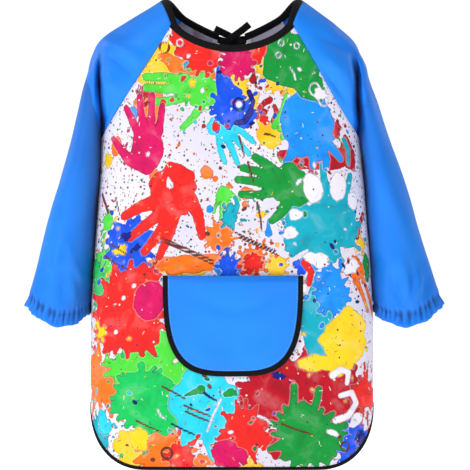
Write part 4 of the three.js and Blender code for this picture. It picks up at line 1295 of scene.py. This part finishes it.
def makeSleeve(side):
    name = sideNames[side]
    columns = sleeveCut["columns"]
    turnShare = np.linspace(-1, 1, columns + 1)[None, :]
    yokeT = np.sin(np.linspace(0, math.pi / 2, sleeveCut["yokeRows"] + 1))[:, None]
    armT = np.linspace(0, 1, sleeveCut["armRows"] + 1)[1:, None]
    armT = armT + 0.035 * np.sin(armT * math.pi)  # closer rows at the cuff
    yoke = yokePoint(yokeT + 0 * turnShare, turnShare + 0 * yokeT)
    grid = np.concatenate([yoke, armPoint(armT + 0 * turnShare, turnShare + 0 * armT, side)])
    rows = np.arange(len(grid))[:, None]
    ease = np.exp(-((rows - sleeveCut["yokeRows"]) / sleeveCut["joinRows"]) ** 2)
    ease = ease * smooth(1 - np.abs(turnShare), 0.04, 0.25)
    for _ in range(sleeveCut["joinRounds"]):
        even = (grid[:-2] + 2 * grid[1:-1] + grid[2:]) / 4
        grid[1:-1] = grid[1:-1] + (even - grid[1:-1]) * ease[1:-1, :, None]
    x, y, z = grid[..., 0].copy(), grid[..., 1].copy(), grid[..., 2].copy()
    # the crease where the arm hangs down beside the chest
    ridgeZ = np.concatenate([ridgeAt("yoke", yokeT), ridgeAt("arm", armT)])[..., 1]
    crease = np.exp(-((x - sleeveCut["valleyX"]) / sleeveCut["valleyWidth"]) ** 2)
    below = np.maximum(ridgeZ - z, 0) / sleeveCut["valleyDrop"]
    crease = crease * (1 - np.exp(-below ** 2)) * smooth(z, *sleeveCut["valleyFade"])
    grid[..., 1] = y * (1 - sleeveCut["valley"] * crease)
    # folds, pushed along the surface's own direction
    across, down = np.gradient(grid, axis=1), np.gradient(grid, axis=0)
    normal = unit(np.cross(across, down))
    middle = np.stack([x * 0 + 120, 0 * y, z], -1)
    if np.sum(normal[20, columns // 2] * (grid[20, columns // 2] - middle[20, columns // 2])) < 0:
        normal = -normal
    push = np.zeros(x.shape)
    back = sleeveCut["backFold"]
    for points, height, width in sleeveFolds[name]:
        push = push + lineFold(x, z, points, height, width) * np.clip(-y / sleeveCut["sideFade"], 0, 1)
        behind = lineFold(x, z - back["lower"], points, height, width * back["wider"])
        push = push + back["share"] * behind * np.clip(y / sleeveCut["sideFade"], 0, 1)
    turnAngle = math.pi * np.broadcast_to(turnShare, x.shape)
    row = np.linspace(0, 1, len(grid))[:, None]
    (round1, along1, high1), (round2, along2, high2) = sleeveCut["drape"]
    drape = high1 * np.sin(round1 * turnAngle + along1 * row + side)
    drape = drape + high2 * np.sin(round2 * turnAngle + along2 * row + 2 * side)
    drape = drape + 0.6 * softWaves(turnAngle * 38, row * 420, 60, 21 + side)
    push = push + drape * smooth(row, 0.03, 0.2) * (1 - 0.6 * smooth(row, 0.25, 0.4))
    seamEdge = smooth(1 - np.abs(turnShare), 0.0, 0.10)
    yokeEdge = np.concatenate([np.ones_like(yokeT), np.zeros_like(armT)])
    hold = np.where(yokeEdge > 0, seamEdge, 0.35 + 0.65 * seamEdge)
    neckHold = smooth(row, 0.0, 0.09)
    tucked = -0.9 * (1 - smooth(1 - np.abs(turnShare), 0.0, 0.012)) * yokeEdge
    grid = grid + normal * (push * hold * neckHold + tucked)[..., None]
    # the neck edge runs up inside its binding, and the cuff turns in to make its casing
    lean = -cut["neckLean"] * grid[0, :, 0] / cut["neckHalf"]
    up = np.stack([lean, 0 * lean, np.sqrt(np.maximum(0.05, 1 - lean ** 2))], -1)
    inside = cuffRings(sleeveCut["casing"], turnShare, side)
    grid = np.concatenate([(grid[0] + up * sleeveCut["neckRise"])[None], grid, inside])
    step = np.linalg.norm(np.diff(grid, axis=0), axis=-1)[:, columns // 2]
    length = np.concatenate([[0], np.cumsum(step)])[:, None]
    uv = clothUv(turnShare * sleeveCut["clothSpan"], length, grid.shape[:2])
    points = spots(side * grid[..., 0], grid[..., 1], grid[..., 2])
    sleeve = gridMesh(name + "Sleeve", points, uv, flip=side < 0)
    # painted shade, kept in the crease attribute: darker in the crease between arm and chest, along the arm's
    # inner edge next to the body, on the side turned away from the light and in the valleys of the cuff gathers
    shade = np.zeros(points.shape[:2])
    body = shade[1:1 + len(crease)]
    body[:] = 0.9 * np.clip(crease * 1.15, 0, 1)
    innerX = along(innerLine, armT)[..., 0]
    inward = np.maximum(x[len(yokeT):] - innerX, 0)
    softShadeStrength, softReach = sleeveCut["softShade"][name]
    near = sleeveCut["innerShadeStrength"] * np.exp(-inward / sleeveCut["innerShade"])
    near = near + softShadeStrength * np.exp(-(inward / softReach) ** 2)
    turned = smooth(np.cos(math.pi * turnShare), -0.25, 0.75) * smooth(armT, 0.05, 0.4)
    near = near + sleeveCut["outerShade"][name] * turned
    pleatValleyShade = -pleat(armT, math.pi * turnShare, side) * smooth(armT, 0.90, 0.975)
    body[len(yokeT):] = np.maximum(body[len(yokeT):], near)
    body[len(yokeT):] = np.maximum(body[len(yokeT):], 0.6 * np.clip(pleatValleyShade - 0.35, 0, 1))
    addAttribute(sleeve, "crease", shade)
    joinSeam(sleeve)
    give(sleeve, sleeveCloth)
    thicken(sleeve, sleeveCut["cloth"])
    bend = sleeveCut["bend"][name]
    height = (cut["armpit"] - cut["neckHeight"]) * mm
    slant = math.hypot(1, bend["tilt"])
    down = bend["tilt"] * bend["zone"] / slant * mm
    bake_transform(sleeve)
    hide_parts(f"{name}_sleeve_shoulder", f"{name}_sleeve_arm", f"{name}_cuff_casing")
    # the elastic in its casing
    ringShare = np.linspace(-1, 1, columns + 1)[None, :-1]
    rings = cuffRings(sleeveCut["elastic"], ringShare, side)
    ringUp = np.arange(len(rings))[:, None] * sleeveCut["elasticStep"]
    uv = clothUv(ringShare * sleeveCut["clothSpan"], ringUp, rings.shape[:2])
    points = spots(side * rings[..., 0], rings[..., 1], rings[..., 2])
    elastic = gridMesh(name + "CuffElastic", points, uv, closed=True, flip=side < 0)
    joinSeam(elastic)
    give(elastic, elasticBraid)
    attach(elastic, f"{name}_arm")
    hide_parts(f"{name}_cuff_elastic")
    return sleeve


for side in (-1, 1):
    makeSleeve(side)
print("sleeves made")

# bias bindings, folded over the raw edges
bandCut = {"neckWidth": 9.0, "hemWidth": 4.6, "pocketWidth": 7.2, "shoulderGrow": 0.35, "half": 1.75,
           "edgeHalf": 1.5, "start": -0.6}


def biasProfile(width, half, start=0.0):
    # a folded strip: thin where it is sewn down, round at the fold
    side = [(0, 0.62), (0.1, 0.86), (0.2, 0.74), (0.32, 0.96), (0.6, 1.0), (0.82, 0.92), (0.95, 0.62), (1.0, 0.0)]
    outline = [(start + width * a, half * b) for a, b in side]
    return outline + [(a, -b) for a, b in outline[::-1][1:]]


def yokeNeckPath(side, count=70):
    turnShare = np.linspace(-1, 1, count)
    points = yokePoint(np.zeros(count), turnShare, cut["cloth"] / 2)
    return spots(side * points[:, 0], points[:, 1], points[:, 2])


def neckUps(path):
    lean = -cut["neckLean"] * path[:, 0] * 1000 / cut["neckHalf"]
    lean = np.clip(lean, -0.9, 0.9)
    return np.stack([lean, 0 * lean, np.sqrt(1 - lean ** 2)], -1)


def dress(piece, body, nodes, material):
    give(piece, material)
    if body:
        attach(piece, body)
    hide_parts(*nodes)
    return piece


def evened(path, spacing=2.4):
    far = lengthAlong(path)
    path = sampled(path, far, np.linspace(0, far[-1], max(3, int(far[-1] * 1000 / spacing))))
    for _ in range(3):  # rounds the corners off
        path[1:-1] = 0.25 * path[:-2] + 0.5 * path[1:-1] + 0.25 * path[2:]
    return path


def makeNeckBinding():
    start = seamStart(-1)
    half = -cut["cloth"] / 2
    shares = np.linspace(-start, start, 90)
    front = torso(-1, shares, neckEdge(-1, shares), half)
    right = yokeNeckPath(1)[2:-2]
    left = yokeNeckPath(-1)[2:-2][::-1]
    fold = (cut["backFold"] + 9.5) / cut["armpitHalf"]
    back = seamStart(1)
    edge = cut["backEdge"] / cut["armpitHalf"]
    rightShares = np.linspace(back - 0.01, edge, 44)
    rightBack = torso(1, rightShares, neckEdge(1, rightShares), half)
    leftBack = torso(1, -rightShares[::-1], neckEdge(1, rightShares[::-1]), half)
    whole = evened(np.concatenate([leftBack, left, front, right, rightBack]))
    ups = neckUps(whole)
    grow = 1 + bandCut["shoulderGrow"] * smooth(np.abs(whole[:, 0]) * 1000, 66, 90)
    split = (fold * cut["armpitHalf"]) * mm
    isBack = (whole[:, 1] > 0.02) & (np.abs(whole[:, 0]) < split)
    first = int(np.argmax(~isBack))
    last = len(whole) - int(np.argmax(~isBack[::-1])) - 1
    profile = biasProfile(bandCut["neckWidth"], bandCut["half"], bandCut["start"])
    neck = slice(first, last + 1)
    piece = sweep("neckBinding", whole[neck], ups[neck], profile, grow[neck])
    dress(piece, "torso", ["neck_binding"], bindingCloth)
    for side, low, high in ((-1, 0, first), (1, last, len(whole) - 1)):
        name = sideNames[side]
        part = slice(low, high + 1)
        piece = sweep(name + "BackNeckBinding", whole[part], ups[part], profile, grow[part])
        foldBlend(piece)
        dress(piece, None, [f"{name}_flap_neck_binding"], bindingCloth)


def hemPath(face, shares):
    shares = np.asarray(shares)
    heights = hemHeight(shares)
    path = torso(face, shares, heights, -cut["cloth"] / 2)
    # the band's width runs away from the edge, in the cloth
    away = np.zeros(path.shape) + (0, 0, 1)
    inside = torso(face, shares * 0.985, heights + 6, -cut["cloth"] / 2)
    return path, unit(mixed(away, unit(inside - path), 0.6))


def cornerShares():
    angle = np.linspace(0, math.pi / 2, 60)
    into = cut["cornerReach"] * np.sin(angle) ** (2 / cut["cornerFullness"])
    return (cut["hemHalf"] - cut["cornerReach"] + into) / cut["hemHalf"]


def makeHemBindings():
    corner = cornerShares()
    flat = np.linspace(-corner[0], corner[0], 90)[1:-1]
    path, ups = hemPath(-1, np.concatenate([-corner[::-1], flat, corner]))
    profile = biasProfile(bandCut["hemWidth"], bandCut["edgeHalf"])
    piece = sweep("frontHemBinding", path, ups, profile)
    dress(piece, "torso", ["front_hem_binding"], bindingCloth)
    edge = cut["backEdge"] / cut["armpitHalf"]
    for side in (-1, 1):
        name = sideNames[side]
        shares = np.concatenate([np.linspace(edge, corner[0], 40)[:-1], corner]) * side
        path, ups = hemPath(1, shares)
        piece = sweep(name + "BackHemBinding", path, ups, profile)
        foldBlend(piece)
        nodes = [f"{name}_back_hem_binding", f"{name}_flap_hem_binding"]
        dress(piece, None, nodes, bindingCloth)


makeNeckBinding()
makeHemBindings()
print("bindings made")

# the pocket: a D-shaped pouch with a double-stitched mouth
pocketCut = {
    "half": 90.7, "middle": 1.3, "top": 251, "drop": 130, "fullness": 3.3, "gape": 9.0, "lift": 1.0,
    "columns": 72, "rows": 54, "hem": 13.0, "bindingSteps": 190, "standOff": 1.2,
    # the mouth's turned-in end: how far down, and how far behind the face
    "turned": ((0.4, 1.5), (1.5, 2.3), (6, 2.4), (13.0, 2.2)),
    # the tab's size and drop, then its outline from above as shares of its width and heights in mm
    "tab": (5.0, 10.0, 11.0), "tabOut": (0, 0.3, 0.6, 0.85, 0.97, 1.0, 0.97, 0.85, 0.6, 0.3, 0.0),
    "tabProud": (1.7, 1.75, 1.7, 1.6, 1.35, 0.95, 0.5, 0.3, 0.2, 0.15, 0.15),
}


pocketFolds = [
    ([(-62, 236), (-30, 214), (6, 206)], -1.5, 10), ([(66, 236), (34, 212), (0, 204)], -1.5, 10),
    ([(-74, 180), (-40, 150), (0, 140), (44, 152), (76, 184)], 1.6, 14),
]


def pocketBulge(x, z):
    across = np.clip((x - pocketCut["middle"]) / pocketCut["half"], -1, 1)
    down = np.clip((pocketCut["top"] - z) / pocketCut["drop"], 0, 1)
    plain = pocketCut["gape"] * (1 - across ** 2) * (1 - down ** 2)
    soft = 0
    for points, height, width in pocketFolds:
        soft = soft + lineFold(x, z, points, height, width)
    return plain + soft * (1 - across ** 4) * smooth(down, 0, 0.15)


def onFront(x, z, proud):
    return torso(-1, x / halfWidth(z), z, proud)


def makePocket():
    inset = bandCut["pocketWidth"] * 0.5
    u = np.linspace(-1, 1, pocketCut["columns"] + 1)[None, :]
    down = (np.linspace(0, 1, pocketCut["rows"] + 1)[:, None]) ** 0.62 * 0.992
    half = (pocketCut["half"] - inset) * quarter(down, pocketCut["fullness"])
    x = pocketCut["middle"] + half * u
    z = pocketCut["top"] - (pocketCut["drop"] - inset) * down + 0 * u
    proud = pocketCut["lift"] + pocketBulge(x, z) + pocketCut["standOff"]
    # the mouth is turned in and sewn down, so the cloth is double there
    ridge = 0.5 * np.exp(-((pocketCut["top"] - z - 6.0) / 2.2) ** 2)
    rows = [onFront(x[i], z[i], proud[i] - ridge[i] * 0.8) for i in range(len(x))]
    turned = []
    for drop, back in pocketCut["turned"]:
        zz = np.full_like(x[0], pocketCut["top"] - drop)
        xx = pocketCut["middle"] + (pocketCut["half"] - inset - 2) * u[0]
        turned.append(onFront(xx, zz, pocketCut["lift"] + pocketBulge(xx, zz) + pocketCut["standOff"] - back))
    points = np.stack(turned[::-1] + rows)
    spread = np.linspace(0, pocketCut["drop"] + pocketCut["hem"], len(points))[:, None]
    uv = clothUv(pocketCut["half"] * u, -spread, points.shape[:2])
    pocket = gridMesh("pocketPanel", points, uv, flip=True)
    thicken(pocket, 0.9)
    dress(pocket, "torso", ["pocket_panel"], sleeveCloth)


def pocketEdge(shrink=0.0):
    # the D-shaped line, from the left end of the mouth round the bottom to the right end
    angle = np.linspace(math.pi, 0, 220)
    c, s = np.cos(angle), np.sin(angle)
    power = 2 / pocketCut["fullness"]
    x = pocketCut["middle"] + (pocketCut["half"] - shrink) * np.sign(c) * np.abs(c) ** power
    z = pocketCut["top"] - (pocketCut["drop"] - shrink) * np.abs(s) ** power
    return x, z


def makePocketBinding():
    x, z = pocketEdge(0.0)
    x2, z2 = pocketEdge(6.0)
    lift = pocketCut["lift"] + 0.6
    path = onFront(x, z, lift + pocketBulge(x, z))
    inner = onFront(x2, z2, lift + pocketBulge(x2, z2))
    far = lengthAlong(path)
    even = np.linspace(0, far[-1], pocketCut["bindingSteps"])
    path, inner = sampled(path, far, even), sampled(inner, far, even)
    width = bandCut["pocketWidth"]
    profile = [(width - a, b) for a, b in biasProfile(width, bandCut["edgeHalf"])]
    piece = sweep("pocketBinding", path, inner - path, profile)
    dress(piece, "torso", ["pocket_binding"], bindingCloth)


def makeTab():
    # a blank folded label, sewn in beside the pocket
    width, height, drop = pocketCut["tab"]
    start = pocketCut["middle"] + pocketCut["half"] - 1
    x = start + np.array(pocketCut["tabOut"]) * width
    proud = pocketCut["lift"] + np.array(pocketCut["tabProud"])
    z = (pocketCut["top"] - drop - height * np.linspace(0, 1, 9))[:, None]
    points = onFront(x[None, :] + 0 * z, z + 0.15 * (x[None, :] - start), proud[None, :] + 0 * z)
    far = np.concatenate([[0], np.cumsum(np.hypot(np.diff(x), np.diff(proud)))])
    uv = clothUv(far[None, :], z, points.shape[:2])
    tab = gridMesh("pocketTab", points, uv, flip=True)
    thicken(tab, 0.25)
    dress(tab, "torso", ["pocket_tab"], tabCloth)


makePocket()
makePocketBinding()
makeTab()
print("pocket made")

# stitches
stitchCut = {"length": 2.3, "gap": 1.0, "thick": 0.42, "sides": 5,
             "rings": ((0.12, 0.7), (0.5, 1.0), (0.88, 0.7)), "flat": 0.8, "sunk": 0.6}
halfMm = 0.0005


def stitchRow(name, path, outs, body, material):
    # short rounded stitches along a line, each a small closed shape
    far = lengthAlong(path)
    step = (stitchCut["length"] + stitchCut["gap"]) * mm
    count = int(far[-1] / step)
    verts, faces = [], []
    half, radius = stitchCut["length"] * halfMm, stitchCut["thick"] * halfMm
    for i in range(count):
        middle = (i + 0.5) * step
        p, q = (sampled(path, far, middle + d) for d in (-half, half))
        out = unit(sampled(outs, far, middle))
        run = unit(q - p)
        wide = unit(np.cross(run, out))
        base = len(verts)
        verts.append(p - out * radius * stitchCut["sunk"])
        for t, size in stitchCut["rings"]:
            for j in range(stitchCut["sides"]):
                a = fullTurn * j / stitchCut["sides"]
                ringSide = out * math.cos(a) * stitchCut["flat"] + wide * math.sin(a)
                verts.append(p + (q - p) * t + ringSide * radius * size)
        verts.append(q - out * radius * stitchCut["sunk"])
        n = stitchCut["sides"]
        for j in range(n):
            k = (j + 1) % n
            faces.append((base, base + 1 + k, base + 1 + j))
            for r in range(2):
                a, b = base + 1 + r * n, base + 1 + (r + 1) * n
                faces.append((a + j, a + k, b + k, b + j))
            faces.append((base + 1 + 2 * n + j, base + 1 + 2 * n + k, base + 1 + 3 * n))
    points = np.array(verts)
    piece = makeMesh(name, points, faces, points[:, [0, 2]])
    give(piece, material)
    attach(piece, body)
    return piece


def outsFor(face, share, z):
    # which way the body's surface faces
    a = torso(face, share, z)
    b = torso(face, share + 0.004, z)
    c = torso(face, share, z + 1.0)
    n = unit(np.cross(b - a, c - a))
    return n if face < 0 else -n


def makeStitches():
    for side in (-1, 1):
        name = sideNames[side]
        for face, label in ((-1, "Front"), (1, "Back")):
            t = np.linspace(0.02, 0.97, 80)
            share = mixed(seamStart(face), 1.0, t) - 0.012
            z = panelTop(face, mixed(seamStart(face), 1.0, t)) - 2.0
            path = torso(face, side * share, z, 0.1)
            outs = outsFor(face, side * share, z)
            stitchRow(f"{name}{label}RaglanStitches", path, outs, "torso", blueThread)
    x = np.linspace(-1, 1, 120) * (pocketCut["half"] - 8) + pocketCut["middle"]
    for label, drop in (("Upper", 5.0), ("Lower", 7.4)):
        z = np.full_like(x, pocketCut["top"] - drop)
        path = onFront(x, z, pocketCut["lift"] + pocketBulge(x, z) + 1.25)
        outs = outsFor(-1, x / halfWidth(z), z)
        stitchRow(f"pocket{label}Stitches", path, outs, "torso", blueThread)
    x, z = pocketEdge(bandCut["pocketWidth"] + 0.7)
    path = onFront(x, z, pocketCut["lift"] + pocketBulge(x, z) + 1.3)
    outs = outsFor(-1, x / halfWidth(z), z)
    stitchRow("pocketBindingStitches", path, outs, "torso", paleThread)


makeStitches()
print("stitches made")

# studio
studio = {"floor": -0.5875, "reach": 14.0, "glow": 0.24, "seen": 1.05, "paper": 0.92}

# each lamp's name, place, size, power and where it points
lamps = [
    ("key", (-2.1, -1.9, 1.5), 1.0, 44, (0, 0, -0.25)), ("fill", (1.9, -2.6, 0.2), 1.6, 12, (0, 0, -0.3)),
    ("top", (0.1, -0.2, 2.2), 1.4, 12, (0, 0, -0.2)), ("backLeft", (-1.6, 1.2, 0.8), 1.2, 7, (0, 0, -0.3)),
    ("backRight", (1.6, 1.2, 0.8), 1.2, 7, (0, 0, -0.3)),
]


def makeStudio():
    reach = studio["reach"]
    points = np.array([[(x, y, studio["floor"]) for x in (-reach, reach)] for y in (-reach, reach)])
    floor = gridMesh("studioFloor", points)
    paper = newMaterial("studioPaper", {
        "Roughness": 0.9, "Specular IOR Level": 0.0, "Emission Strength": studio["paper"],
        "Base Color": (0.92, 0.92, 0.92, 1), "Emission Color": (1, 1, 1, 1)})[0]
    give(floor, paper)
    for name, place, size, power, aim in lamps:
        data = bpy.data.lights.new(name, "AREA")
        data.shape = "DISK"
        data.size = size
        data.energy = power
        lamp = bpy.data.objects.new(name, data)
        bpy.context.collection.objects.link(lamp)
        lamp.location = place
        lamp.rotation_euler = (Vector(aim) - Vector(place)).to_track_quat("-Z", "Y").to_euler()
    world = bpy.data.worlds.new("studio")
    bpy.context.scene.world = world
    world.use_nodes = True
    s = Shader(world.node_tree)
    seen = s.put("ShaderNodeLightPath").outputs["Is Camera Ray"]
    sky = world.node_tree.nodes["Background"]
    sky.inputs["Color"].default_value = (1, 1, 1, 1)
    s.tree.links.new(s.between(seen, 0.0, 1.0, studio["glow"], studio["seen"]), sky.inputs["Strength"])
    bpy.context.scene.view_settings.view_transform = "Standard"


makeStudio()
